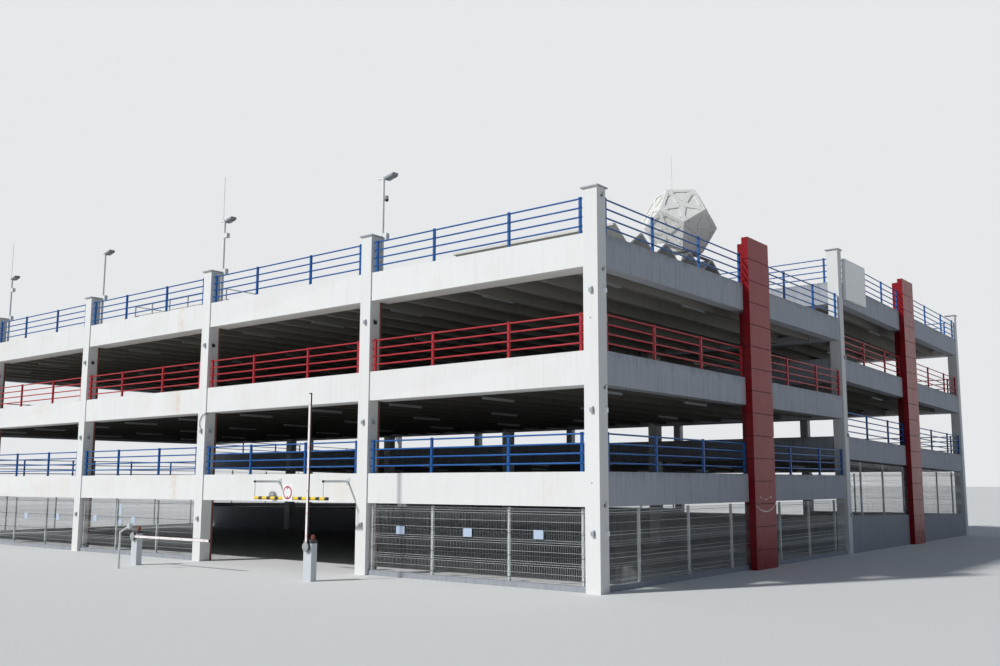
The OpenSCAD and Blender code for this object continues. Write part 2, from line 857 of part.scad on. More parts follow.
module dodecahedron() {
  color("#D2CFC8")
    translate([dodeca_x, dodeca_y, dodeca_z + in_radius(dodeca_a)])
      difference() {
        dodeca_body(dodeca_a);
        dodeca_body(dodeca_a - dodeca_wall / 1.113516);
        face_panels(-54);
        for (i = [0 : 4]) {
          rotate([0, dodeca_tilt, -54 + 72 * i])
            face_panels(180);
          rotate([0, 180 - dodeca_tilt, -90 + 72 * i])
            face_panels(0);
        }
      }
}

// Height bar before the entrance: arms on the spandrel, chains, the bar and a round sign
arm_xs = [-8265, -11200];
arm_y = recess - arm_out;
module height_bar_arms() {
  color("#8A8F93")
    for (x = arm_xs) {
      translate([x, recess, arm_z])
        rotate([90, 0, 0])
          cylinder(h = arm_out + 25, d = arm_d);
      block(x - 70, x + 70, recess - 12, recess, arm_z - 90, arm_z + 90);
      translate([x, arm_y, bar_z + bar_d / 2])
        cylinder(h = arm_z - bar_z - bar_d / 2, d = 14);
    }
}

module height_bar() {
  color("#E8C21A")
    translate([-bar_mid - bar_l / 2, arm_y, bar_z])
      rotate([0, 90, 0])
        cylinder(h = bar_l, d = bar_d);
}

module round_sign() {
  color("#E9E9E6")
    translate([-bar_mid - 50, arm_y - bar_d / 2, bar_z + 155])
      rotate([90, 0, 0])
        cylinder(h = 12, d = sign_d);
}

// Blank board on the rear half beside the split column, on two rails behind it
board_gap = 40;
board_l = 2130;
board_h = 1500;
board_t = 110;
board_drop = 640;
board_rail = 80;
board_rail_in = 200;
module sign_board() {
  z0 = rear_top_at(3) - board_drop;
  y0 = split_y + col_d + board_gap;
  color("#EDEDEA") {
    block(0, board_t, y0, y0 + board_l, z0, z0 + board_h);
    for (z = [z0 + board_rail + 20, z0 + 5 * board_rail])
      block(-recess, 0, y0 + board_rail_in, y0 + board_l - board_rail_in, z, z + board_rail);
  }
}

// Small grey boxes with a sloping top on the column faces, one a storey, and a round lamp at the entrance
function box_z(level) = first_top + (level - 1) * storey - span_h - 575;
module wall_box(x, y, level, turn) {
  translate([x, y, box_z(level)])
    rotate([0, 0, turn])
      translate([-40, 0, 0])
        rotate([90, 0, 90])
          linear_extrude(80)
            polygon([[0, -65], [0, 65], [-20, 65], [-60, 30], [-60, -65]]);
}

module wall_boxes() {
  color("#7F8488") {
    for (level = [1 : 3], k = [0 : bays])
      wall_box(-k * bay - 180, 0, level, 0);
    for (level = [1 : 3], y = [0, split_y])
      wall_box(0, y + 260, level, 90);
    for (level = [2, 3], k = [1 : bays])
      wall_box(-k * bay, 170, level, 90);
    translate([-11460, recess, 2070])
      rotate([90, 0, 0])
        cylinder(h = 70, d = 240);
  }
}

// Slim strip lights under every third rib, three in a row
light = 60;
light_l = 1300;
light_in = 1420;
rear_light_in = 1820;
light_step = 4600;
module ceiling_lights() {
  z = kerb + tee_h;
  color("#E4E6E6")
    for (level = [1 : 3], i = [0 : 3 : ribs - 1], row = [0 : 2]) {
      x = rib_x(i) - light / 2;
      y = light_in + row * light_step;
      rear_y = split_y + rear_light_in + row * light_step;
      block(x, x + light, y, y + light_l, top_at(level) - z - light, top_at(level) - z);
      fall_block(x, x + light, rear_y, rear_y + light_l, rear_top_at(level) - z - light,
        rear_top_at(level) - z);
    }
}

// Thin downpipes behind the front columns, from slab to slab
module downpipes() {
  color("#7A4A3C")
    for (k = [1 : bays], level = [0 : 2]) {
      z0 = level == 0 ? 0 : top_at(level) - kerb;
      translate(k == bays ? [60 - len_x, col_d + ledge_d + 45, z0] : [-k * bay - 20, col_d + 45, z0])
        cylinder(h = top_at(level + 1) - kerb - slab_t - z0, d = 75);
    }
}

boom_t = 45;
hub_d = 230;
shaft_d = 50;
right_cab_x = -7420;
left_cab_x = -15350;
face_y = -barrier_y - cabinet_d / 2;
boom_y = face_y - 15;
wall_t = 3;
// A closed cabinet with the stub shaft that carries the boom
module cabinet(x) {
  block(x - cabinet_w / 2, x + cabinet_w / 2, face_y, face_y + cabinet_d, 0, cabinet_h);
  translate([x, face_y, boom_z])
    rotate([90, 0, 0])
      cylinder(h = boom_t + 30, d = shaft_d);
}

// A hollow boom along X from its axis, with a hub bored for the shaft
module boom() {
  translate([0, boom_y, 0])
    difference() {
      union() {
        difference() {
          block(-boom_tail, boom_l, -boom_t, 0, -boom_h / 2, boom_h / 2);
          block(hub_d / 2, boom_l - wall_t, wall_t - boom_t, -wall_t, wall_t - boom_h / 2,
            boom_h / 2 - wall_t);
        }
        rotate([90, 0, 0])
          cylinder(h = boom_t, d = hub_d);
      }
      translate([0, eps, 0])
        rotate([90, 0, 0])
          cylinder(h = boom_t + 2 * eps, d = shaft_d + 2);
    }
}

module barrier_cabinets() {
  color("#B9BCBE") {
    cabinet(right_cab_x);
    cabinet(left_cab_x);
  }
}

// Bent tube with a reader head before the left barrier
post_top = 1060;
module reader_post() {
  color("#A7ABAE")
    translate([-14640, -2900, 0]) {
      cylinder(h = 8, d = 160);
      cylinder(h = post_top, d = 60);
      translate([0, 0, post_top - 30])
        rotate([0, 68, 0])
          cylinder(h = 480, d = 45);
      translate([430, -45, post_top + 90])
        cube([110, 90, 130]);
    }
}

module right_boom() {
  color("#E8E6E0")
    translate([right_cab_x, 0, boom_z])
      rotate([0, -90, 0])
        boom();
}

module left_boom() {
  color("#E8E6E0")
    translate([left_cab_x, 0, boom_z])
      boom();
}

// The origin is the centre of the corner column's foot
module set_out() {
  translate([col_w / 2, -col_d / 2, 0])
    children();
}

set_out() front_columns();
set_out() split_columns();
set_out() back_columns();
set_out() column_caps();
set_out() front_spandrels();
set_out() right_spandrels();
set_out() left_spandrels();
set_out() back_spandrels();
set_out() split_kerbs();
set_out() split_beams();
set_out() deck_slabs();
set_out() tee_ribs();
set_out() rear_plinth();
set_out() ground_curbs();
set_out() front_pylon();
set_out() rear_pylon();
set_out() clad_columns();
set_out() left_gable_columns();
set_out() front_rails_first();
set_out() front_rails_second();
set_out() front_rails_roof();
set_out() right_rails_first();
set_out() right_rails_second();
set_out() right_rails_roof();
set_out() far_rails_first();
set_out() far_rails_second();
set_out() far_rails_roof();
set_out() front_fence();
set_out() right_fence();
set_out() far_fence();
set_out() lamp_masts();
set_out() mast_lamps();
set_out() mast_boxes();
set_out() lightning_rods();
set_out() roof_guard();
set_out() folded_plate();
set_out() plate_supports();
set_out() dodecahedron();
set_out() height_bar_arms();
set_out() height_bar();
set_out() round_sign();
set_out() sign_board();
set_out() wall_boxes();
set_out() ceiling_lights();
set_out() downpipes();
set_out() barrier_cabinets();
set_out() reader_post();
set_out() right_boom();
set_out() left_boom();
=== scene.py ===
"""Finishes, fittings, light and camera for an open split-level car park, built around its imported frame."""
import math

import bmesh
import bpy
from mathutils import Matrix, Vector


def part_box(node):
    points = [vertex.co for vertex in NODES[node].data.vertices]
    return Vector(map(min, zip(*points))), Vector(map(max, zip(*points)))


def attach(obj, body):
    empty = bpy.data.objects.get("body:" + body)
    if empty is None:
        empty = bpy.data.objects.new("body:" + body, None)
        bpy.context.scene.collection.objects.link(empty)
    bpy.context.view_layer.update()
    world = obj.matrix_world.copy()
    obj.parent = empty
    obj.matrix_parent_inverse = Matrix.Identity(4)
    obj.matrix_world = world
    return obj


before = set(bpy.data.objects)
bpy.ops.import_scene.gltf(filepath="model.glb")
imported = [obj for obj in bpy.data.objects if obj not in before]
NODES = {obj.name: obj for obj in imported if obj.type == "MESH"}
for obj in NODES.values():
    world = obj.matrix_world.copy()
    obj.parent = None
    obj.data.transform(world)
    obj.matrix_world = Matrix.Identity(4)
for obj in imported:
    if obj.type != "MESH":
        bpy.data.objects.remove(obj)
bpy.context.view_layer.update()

bl_info = {
    "name": "Car park finishes",
    "version": (1, 0, 0),
    "blender": (4, 5, 0),
    "location": "View3D > Sidebar > Car park",
    "description": "Concrete, cladding, railings, mesh fences and fittings of a split-level car park",
    "category": "Object",
}

BUILDING = "building"

# Set-out of the building in metres, as the frame has it: the corner column's foot is the origin
COLUMN_W = 0.4
BAY = 7.5
BAYS = 5
MESHED_BAYS = (0, 2, 3, 4)
RIGHT_FACE = 0.2
FRONT_FACE = -0.18
BACK_FACE = 31.18
LEFT_FACE = RIGHT_FACE - COLUMN_W - BAY * BAYS
SPLIT = 15.5
LEVELS = (1, 2, 3)
STOREY = 2.76
FIRST_TOP = 2.69
SPANDREL = 0.79
REAR_RISE = 1.37
FALL = 0.02
KERB = 0.2
CURB = 0.13
PLINTH = 1.3
PANEL = 0.645
TEE_WIDTH = 2.34
TEE_START = 0.32

# Runs of a gable between its columns, from the front face, with their railing and fence posts
GABLE_RUNS = ((0.36, 8.195), (8.595, 15.5), (15.86, 22.935), (23.335, 31.0))
GABLE_RAIL_POSTS = ((0.14, 2.32, 4.78, 7.27), (0.205, 2.305, 4.705, 6.765), (0.14, 2.28, 4.69, 6.59),
                    (0.165, 3.115, 5.635, 7.525))
GABLE_FENCE_POSTS = ((1.56, 4.01, 6.45), (1.515, 3.775, 6.05), (1.54, 3.99, 6.49), (1.375, 3.825, 6.275))
BAY_RAIL_POSTS = (0.14, 2.285, 4.815, 6.96)
BAY_FENCE_POSTS = (0.09, 2.285, 4.785, 6.925)
POST = 0.06
RAIL_IN = 0.105
RAIL_HEIGHTS = (0.195, 0.417, 0.639, 0.861)
FENCE_TOP = FIRST_TOP - SPANDREL - 0.04
REAR_FENCE_TOP = FIRST_TOP + REAR_RISE - SPANDREL - 0.06
FENCE_BARS = (0.06, 0.35, 0.65, 0.94)
MESH_CLEAR = 0.02

# The barriers' centre line, cabinet top and boom hub, and the bracket arms of the height bar
BOOMS = ("right_boom", "left_boom")
BARRIER_Y = -1.94 + FRONT_FACE
CABINET_TOP = 1.0
HUB_HEIGHT = 0.85
HUB_IN = 0.115
HUB_RADIUS = 0.118
ARM_HEIGHT = 2.475
ARM_IN = 0.07

# Where the form's seam and the rust run are along X, how high the painted shade of the decks goes, the line of the
# masts, and how far the middle of a wall box lies below its spandrel
SEAM_X = -1.386
RUST_X = -16.44
DECK_SHADE_TOP = 7.0
MAST_Y = 0.46 + FRONT_FACE
BOX_DROP = 0.575

# Kinds of node that read the object coordinates
READ_PLACE = ("TexNoise", "TexVoronoi", "Mapping", "SeparateXYZ")


def linear(hex_colour):
    """An sRGB hex colour as linear red, green and blue."""
    parts = [int(hex_colour[i:i + 2], 16) / 255 for i in (1, 3, 5)]
    return tuple(p / 12.92 if p <= 0.04045 else ((p + 0.055) / 1.055) ** 2.4 for p in parts)


def rgba(colour, shade=1.0):
    """A hex or linear colour as linear with full alpha, made lighter or darker by a factor."""
    parts = linear(colour) if isinstance(colour, str) else tuple(colour)[:3]
    return (*[min(1.0, part * shade) for part in parts], 1.0)


def per_mm(size_mm):
    """The texture scale at which one feature is about that many millimetres, on coordinates in metres."""
    return 1000.0 / size_mm


def add(tree, kind, *values, out=0, **named):
    """Adds a node and gives one of its outputs.

    Values go to the inputs in order, by a name with a capital or by a number as in i6. Other words are settings.
    """
    node = tree.nodes.new("ShaderNode" + kind)
    sockets = list(enumerate(values))
    for word, value in named.items():
        if word[0].isupper():
            sockets.append((word.replace("_", " "), value))
        elif word[1:].isdigit():
            sockets.append((int(word[1:]), value))
        else:
            setattr(node, word, value)
    for place, value in sockets:
        if isinstance(value, bpy.types.NodeSocket):
            tree.links.new(value, node.inputs[place])
        else:
            node.inputs[place].default_value = value
    return node.outputs[out] if node.outputs else None


class Finish:
    """A material under construction: its tree, shader, paint so far and object coordinates in metres."""

    def __init__(self, name, base, **shader):
        self.material = bpy.data.materials.new(name)
        self.material.use_nodes = True
        self.tree = self.material.node_tree
        self.shader = self.tree.nodes["Principled BSDF"]
        for key, value in shader.items():
            self.shader.inputs[key.replace("_", " ")].default_value = value
        self.place = add(self.tree, "TexCoord", out="Object")
        self.paint = rgba(base)

    def add(self, kind, *values, **named):
        """Adds a node, which reads the object coordinates where it needs some and is given none."""
        if not values and kind in READ_PLACE:
            values = (self.place,)
        return add(self.tree, kind, *values, **named)

    def link(self, socket, name):
        """Links a socket to an input of the shader."""
        self.tree.links.new(socket, self.shader.inputs[name])

    def mark(self, factor, colour, shade=1.0, blend="MIX"):
        """Lays a colour over the paint so far, by a factor, and keeps the result as the paint."""
        self.paint = self.add("Mix", factor, i6=self.paint, i7=rgba(colour, shade), data_type="RGBA",
                              blend_type=blend, out=2)
        self.link(self.paint, "Base Color")

    def all_of(self, *masks):
        """Where several masks meet."""
        meet = masks[0]
        for mask in masks[1:]:
            meet = self.add("Math", meet, mask, operation="MULTIPLY")
        return meet

    def off(self, axis, middle):
        """Distance from a middle along one axis."""
        along = self.add("Math", self.add("SeparateXYZ", out=axis), middle, operation="SUBTRACT")
        return self.add("Math", along, operation="ABSOLUTE")

    def round_off(self, middle):
        """Distance from an axis along Y through a middle."""
        away = self.add("CombineXYZ", self.off("X", middle.x), 0.0, self.off("Z", middle.z))
        return self.add("VectorMath", away, operation="LENGTH", out="Value")


def precast_concrete(name, base, grime, streak=0.12, mottle=0.0):
    """Precast concrete from steel forms: pale and matt, almost even, with fine upright marks and a few air pores."""
    f = Finish(name, base, Roughness=0.85, Specular_IOR_Level=0.3)
    clouds = f.add("TexNoise", Scale=per_mm(2300), Detail=4.0, Roughness=0.55)
    # The form's release oil ran down, so the fine marks are a hand wide and as tall as the panel
    tall = f.add("Mapping", Scale=(17.0, 17.0, 0.5))
    fine = f.add("TexNoise", tall, Scale=per_mm(1000), Detail=4.0, Roughness=0.65)
    # Rain takes dust down in broader, shorter runs
    short = f.add("Mapping", Scale=(5.0, 5.0, 0.55))
    runs = f.add("TexNoise", short, Scale=per_mm(1000), Detail=5.0, Roughness=0.6)
    pores = f.add("TexVoronoi", Scale=per_mm(170), feature="F1", out="Distance")
    # Each panel was cast on its own day, so each has its own tone
    tone = f.add("NewGeometry", out="Random Per Island")
    f.mark(f.add("MapRange", clouds, 0.35, 0.68, 0.0, 0.5), base, 0.92)
    f.mark(f.add("MapRange", fine, 0.48, 0.76, 0.0, streak), grime, blend="MULTIPLY")
    f.mark(f.add("MapRange", runs, 0.56, 0.80, 0.0, streak * 1.4), grime, blend="MULTIPLY")
    f.mark(f.add("MapRange", tone, 0.0, 1.0, 0.0, 0.05), grime, 0.8, "MULTIPLY")
    f.mark(f.add("MapRange", pores, 0.045, 0.07, 0.25, 0.0), grime, 0.4)
    if mottle:
        f.mark(weathered_top(f, mottle), grime, 0.55, "MULTIPLY")
    # Grit of some 4 mm is drawn at 14 mm, as finer grains don't show from the street
    grit = f.add("TexNoise", Scale=per_mm(14), Detail=3.0, Roughness=0.7)
    grit = f.add("Bump", Height=grit, Strength=0.3, Distance=0.001)
    f.link(f.add("Bump", Height=fine, Strength=0.25, Distance=0.0015, Normal=grit), "Normal")
    f.link(f.add("MapRange", runs, 0.3, 0.8, 0.78, 0.92), "Roughness")
    return f


def weathered_top(f, strength):
    """Dark algae under the top edge of a gable spandrel, in tongues that run out downwards."""
    y = f.add("SeparateXYZ", out="Y")
    rear = f.add("Math", y, SPLIT + FRONT_FACE, operation="GREATER_THAN")
    fallen = f.add("Math", y, FALL, operation="MULTIPLY")
    raised = f.add("Math", REAR_RISE + FALL * (SPLIT + FRONT_FACE), fallen, operation="SUBTRACT")
    up = f.add("Math", f.add("SeparateXYZ", out="Z"), f.all_of(rear, raised), operation="SUBTRACT")
    up = f.add("Math", up, FIRST_TOP - SPANDREL, operation="SUBTRACT")
    height = f.add("Math", up, STOREY, operation="FLOORED_MODULO")
    wide = f.add("Mapping", Scale=(3.2, 3.2, 1.1))
    tongues = f.add("TexNoise", wide, Scale=per_mm(1000), Detail=6.0, Roughness=0.75, Distortion=0.6)
    reach = f.add("MapRange", tongues, 0.36, 0.70, SPANDREL - 0.03, SPANDREL - 0.40)
    depth = f.add("Math", height, reach, operation="SUBTRACT")
    blotches = f.add("TexNoise", Scale=per_mm(240), Detail=6.0, Roughness=0.7, Distortion=0.5)
    return f.all_of(f.add("MapRange", depth, 0.0, 0.34, 0.0, strength),
                    f.add("MapRange", blotches, 0.35, 0.65, 0.35, 1.0))


def composite_panel(name, base):
    """Aluminium composite sheet with a satin gloss coating: even deep red that mirrors at low angles only."""
    f = Finish(name, base, Roughness=0.3, Specular_IOR_Level=0.22)
    tall = f.add("Mapping", Scale=(1.0, 1.0, 0.35))
    dust = f.add("TexNoise", tall, Scale=per_mm(260), Detail=5.0, Roughness=0.7)
    tone = f.add("NewGeometry", out="Random Per Island")
    f.mark(f.add("MapRange", tone, 0.0, 1.0, 0.0, 0.10), base, 0.62)
    f.mark(f.add("MapRange", dust, 0.55, 0.82, 0.0, 0.05), "#9A6A66")
    f.link(f.add("MapRange", dust, 0.35, 0.75, 0.24, 0.4), "Roughness")
    # The sheets lie a little out of flat over some 0.9 m
    flat = f.add("TexNoise", Scale=per_mm(900), Detail=1.0, Roughness=0.4)
    f.link(f.add("Bump", Height=flat, Strength=0.12, Distance=0.004), "Normal")
    return f


def gloss_enamel(name, base, chalk):
    """Brushed gloss enamel on steel tube: strong colour, slightly chalked where the sun reaches, with rust specks."""
    f = Finish(name, base, Roughness=0.36, Specular_IOR_Level=0.35, Coat_Weight=0.1, Coat_Roughness=0.2)
    fade = f.add("TexNoise", Scale=per_mm(350), Detail=4.0, Roughness=0.6)
    # Specks of 3 mm and brush marks of 5 mm are drawn at 22 and 40 mm, as finer ones don't show from the street
    specks = f.add("TexNoise", Scale=per_mm(22), Detail=3.0, Roughness=0.6)
    brushed = f.add("TexNoise", Scale=per_mm(40), Detail=2.0, Roughness=0.55)
    f.mark(f.add("MapRange", fade, 0.45, 0.75, 0.0, 0.28), chalk)
    f.mark(f.add("MapRange", specks, 0.68, 0.73, 0.0, 0.5), "#5A4A42")
    f.link(f.add("MapRange", fade, 0.3, 0.7, 0.28, 0.46), "Roughness")
    f.link(f.add("Bump", Height=brushed, Strength=0.25, Distance=0.0006), "Normal")
    return f


def galvanised_steel(name, base, metallic=0.35):
    """Hot-dip galvanised steel, weathered: dull light zinc grey with crystal flakes some 20 mm across."""
    f = Finish(name, rgba(base, 0.86), Metallic=metallic, Roughness=0.5)
    flakes = f.add("TexVoronoi", Scale=per_mm(22), feature="F1", out="Color")
    grey = f.add("SeparateColor", flakes)
    dull = f.add("TexNoise", Scale=per_mm(260), Detail=4.0, Roughness=0.55)
    f.mark(f.add("MapRange", grey, 0.0, 1.0, 0.0, 1.0), base, 1.08)
    f.mark(f.add("MapRange", dull, 0.5, 0.75, 0.0, 0.3), "#8B8A84")
    f.link(f.add("MapRange", grey, 0.0, 1.0, 0.42, 0.6), "Roughness")
    return f


def coated_metal(name, base, roughness=0.45, dirt=0.25, metallic=0.0):
    """Powder coated sheet or casting: even colour with fine orange peel and a little street dirt."""
    f = Finish(name, base, Roughness=roughness, Metallic=metallic)
    tall = f.add("Mapping", Scale=(1.0, 1.0, 0.4))
    soil = f.add("TexNoise", tall, Scale=per_mm(160), Detail=5.0, Roughness=0.65)
    # Orange peel of some 2 mm is drawn at 6 mm, as coarse as it needs to show
    peel = f.add("TexNoise", Scale=per_mm(6), Detail=2.0, Roughness=0.55)
    f.mark(f.add("MapRange", soil, 0.5, 0.8, 0.0, dirt), base, 0.5)
    f.link(f.add("Bump", Height=peel, Strength=0.3, Distance=0.00025), "Normal")
    f.link(f.add("MapRange", soil, 0.3, 0.8, roughness - 0.06, min(1.0, roughness + 0.15)), "Roughness")
    return f


def moulded_rubber(name, base):
    """Moulded black rubber and cable sheath: dark, dull, a little dusty."""
    f = Finish(name, base, Roughness=0.75, Specular_IOR_Level=0.35)
    dust = f.add("TexNoise", Scale=per_mm(60), Detail=4.0, Roughness=0.55)
    f.mark(f.add("MapRange", dust, 0.5, 0.75, 0.0, 0.3), "#5B5A57")
    return f


def opal_acrylic(name, base):
    """Extruded opal acrylic: white, even and slightly glossy, with a little dust."""
    f = Finish(name, base, Roughness=0.3, IOR=1.49, Subsurface_Weight=0.15, Subsurface_Radius=(0.02, 0.02, 0.02))
    dust = f.add("TexNoise", Scale=per_mm(90), Detail=4.0, Roughness=0.55)
    f.mark(f.add("MapRange", dust, 0.5, 0.75, 0.0, 0.3), base, 0.7)
    return f


def tinted_polycarbonate(name, base, through=0.5):
    """Moulded polycarbonate lens: coloured, clear and glossy, with a darker body behind it."""
    f = Finish(name, base, Roughness=0.12, IOR=1.585, Transmission_Weight=through)
    ribs = f.add("TexNoise", Scale=per_mm(30), Detail=3.0, Roughness=0.55)
    f.mark(f.add("MapRange", ribs, 0.45, 0.75, 0.0, 0.3), base, 0.6)
    return f


def boom_plank(name, along, across, middle, hub):
    """White coated plank with thin red strips, rubber sides darkened as painted shade, and a short red reflector
    every half metre.
    """
    red, strip, rubber_and_shade = "#B8303A", 0.0335, 0.0368
    pitch, long, half_wide = 0.55, 0.0495, 0.009
    f = coated_metal(name, "#F0EFEB", 0.35, 0.18)
    away = f.off(across, middle)
    f.mark(f.add("Math", away, strip, operation="GREATER_THAN"), red)
    # The side faces are rubber, painted darker still as painted shade
    f.mark(f.add("Math", away, rubber_and_shade, operation="GREATER_THAN"), "#4A3034")
    step = f.add("Math", f.add("SeparateXYZ", out=along), pitch, operation="FLOORED_MODULO")
    f.mark(f.all_of(f.add("Math", step, long, operation="LESS_THAN"),
                    f.add("Math", away, half_wide, operation="LESS_THAN")), red)
    f.mark(f.add("Math", f.round_off(hub), HUB_RADIUS, operation="LESS_THAN"), "#1F2022")
    return f


def banded_tube(name, first, second, start, pitch, joint, slip):
    """Coated tube with dark bands painted across it at an even pitch along X, out of step past the joint."""
    f = coated_metal(name, first, 0.4, 0.2)
    x = f.add("SeparateXYZ", out="X")
    late = f.all_of(f.add("Math", x, joint, operation="GREATER_THAN"), slip)
    since = f.add("Math", f.add("Math", x, start, operation="SUBTRACT"), late, operation="SUBTRACT")
    step = f.add("Math", since, pitch, operation="FLOORED_MODULO")
    f.mark(f.add("Math", step, 0.45 * pitch, operation="LESS_THAN"), second)
    return f


def ring_of(bm, centre, turn, radius, sides):
    """A ring of vertices round a centre, in the plane that a rotation gives."""
    angles = [2 * math.pi * i / sides for i in range(sides)]
    return [bm.verts.new(centre + turn @ Vector((radius * math.cos(a), radius * math.sin(a), 0.0))) for a in angles]


def bridge(bm, low, high):
    """Closes two rings with a band of faces."""
    for i in range(len(low)):
        j = (i + 1) % len(low)
        bm.faces.new((low[i], low[j], high[j], high[i]))


def bar(bm, start, end, radius, sides=3):
    """A straight bar of few sides between two points."""
    turn = (Vector(end) - Vector(start)).to_track_quat("Z", "Y").to_matrix()
    rings = [ring_of(bm, Vector(point), turn, radius, sides) for point in (start, end)]
    bridge(bm, *rings)
    bm.faces.new(rings[0][::-1])
    bm.faces.new(rings[1])


def wire(bm, points, radius, sides=3):
    """One bent wire through a list of points, with shared rings at its bends."""
    rings = []
    for i, point in enumerate(points):
        before, after = points[max(i - 1, 0)], points[min(i + 1, len(points) - 1)]
        turn = (Vector(after) - Vector(before)).to_track_quat("Z", "Y").to_matrix()
        rings.append(ring_of(bm, Vector(point), turn, radius, sides))
    for low, high in zip(rings, rings[1:]):
        bridge(bm, low, high)
    bm.faces.new(rings[0][::-1])
    bm.faces.new(rings[-1])


def plate(bm, centre, size, chamfer=0.0):
    """A flat plate or small box with its edges cut back by a chamfer."""
    verts = bmesh.ops.create_cube(bm, size=1.0)["verts"]
    bmesh.ops.scale(bm, vec=Vector(size), verts=verts)
    if chamfer:
        edges = list(dict.fromkeys(e for v in verts for e in v.link_edges))
        cut = bmesh.ops.bevel(bm, geom=edges, offset=chamfer, segments=1, affect="EDGES")
        verts = list({v for f in cut["faces"] for v in f.verts} | {v for v in verts if v.is_valid})
    bmesh.ops.translate(bm, vec=Vector(centre), verts=verts)


def disc(bm, centre, direction, radius, thick, sides=8):
    """A flat round boss that stands on a face."""
    start = Vector(centre)
    bar(bm, start, start + Vector(direction) * thick, radius, sides)


def turned(bm, centre, direction, profile, sides=24):
    """A turned form: pairs of radius and distance along a direction; a radius of zero closes an end."""
    axis = Vector(direction).normalized()
    turn = axis.to_track_quat("Z", "Y").to_matrix()
    last = None
    for radius, reach in profile:
        at = Vector(centre) + axis * reach
        ring = ring_of(bm, at, turn, radius, sides) if radius else [bm.verts.new(at)]
        if last is not None and len(last) == len(ring):
            bridge(bm, last, ring)
        elif last is not None:
            tip, rim = (ring[0], last) if len(ring) == 1 else (last[0], ring)
            for i in range(sides):
                bm.faces.new((rim[i], rim[(i + 1) % sides], tip))
        last = ring


def piece(name, bm, finish, body=BUILDING, smooth=False):
    """Makes a mesh a named piece that rides on a body of the frame."""
    mesh = bpy.data.meshes.new(name)
    bmesh.ops.recalc_face_normals(bm, faces=bm.faces)
    bm.to_mesh(mesh)
    bm.free()
    mesh.materials.append(finish.material)
    obj = bpy.data.objects.new(name, mesh)
    bpy.context.scene.collection.objects.link(obj)
    for polygon in mesh.polygons:
        polygon.use_smooth = smooth
    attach(obj, body)
    return obj


def dress(finish, *names):
    """Gives CAD nodes their finish."""
    for name in names:
        node = NODES[name]
        node.data.materials.clear()
        node.data.materials.append(finish.material)


def soften(width, *names):
    """Breaks the sharp edges of CAD nodes, as forms and folded sheet leave them."""
    for name in names:
        edge = NODES[name].modifiers.new("edge", "BEVEL")
        edge.width = width
        edge.segments = 1
        edge.limit_method = "ANGLE"
        edge.angle_limit = math.radians(40)


def colour(name, description, value):
    return bpy.props.FloatVectorProperty(name=name, description=description, subtype="COLOR", size=3, min=0.0,
                                         max=1.0, default=linear(value))


def length(name, description, value, low=0.0, high=100.0):
    return bpy.props.FloatProperty(name=name, description=description, default=value, min=low, max=high,
                                   unit="LENGTH", precision=4)


class CarParkColours(bpy.types.PropertyGroup):
    """Colours of the car park's finishes."""
    concrete: colour("Precast concrete", "Columns and front spandrels", "#E8E8E5")
    gable: colour("Gable concrete", "Gable spandrels", "#B1B5BC")
    # Set darker than the columns' concrete, partly as painted shade for the dim insides of the storeys
    deck: colour("Deck concrete", "Double tees and slabs", "#908D85")
    grime: colour("Grime", "Rain marks and pores in the concrete", "#8A867D")
    cladding: colour("Cladding", "Satin gloss composite panels", "#8A0D19")
    blue: colour("Blue enamel", "Railings of the first floor and the roof", "#00559A")
    red: colour("Red enamel", "Railings of the second floor", "#AE1B27")
    zinc: colour("Zinc", "Fences, masts and brackets", "#CED2D2")
    cap: colour("Column caps", "Folded sheet on the columns", "#A3A7AA")
    yellow: colour("Height bar", "Ground colour of the height bar", "#EFCB27")
    dark: colour("Black parts", "Rubber, cable and plastic caps", "#222325")
    floor: colour("Floor", "Floor and backdrop", "#DADAD7")


class CarParkSizes(bpy.types.PropertyGroup):
    """Sizes of the car park's fittings."""
    wire_pitch: length("Wire spacing", "Distance between the upright wires of the mesh", 0.05, 0.02, 0.2)
    wire_width: length("Wire", "Diameter of the mesh wires, a little over the real 5 mm so that they show", 0.0068,
                       0.003, 0.02)
    fold_reach: length("Fold", "How far the V folds of the mesh stand out", 0.035, 0.0, 0.1)
    blank_plate: length("Blank plate", "Side of the square plates on the mesh", 0.25, 0.05, 0.6)
    foot_plate: length("Foot plate", "Side of the railing posts' foot plates", 0.12, 0.08, 0.3)
    clamp: length("Clamp", "Diameter of the rail clamps on the posts", 0.036, 0.01, 0.08)
    beacon: length("Beacon", "Diameter of the beacons on the barrier cabinets", 0.11, 0.05, 0.3)


def colours():
    return bpy.context.scene.car_park_colours


def sizes():
    return bpy.context.scene.car_park_sizes


def column_left(k):
    """Left face of column k, counted from the corner to the left."""
    return -COLUMN_W / 2 - k * BAY


def top_at(level, rear=False):
    """Top of the spandrels of a level, at the split line for the rear half."""
    return FIRST_TOP + (level - 1) * STOREY + (REAR_RISE if rear else 0.0)


def gable_top(level, place):
    """Top of a gable spandrel at a place behind the front face."""
    if place < SPLIT:
        return top_at(level)
    return top_at(level, True) - FALL * (place - SPLIT)


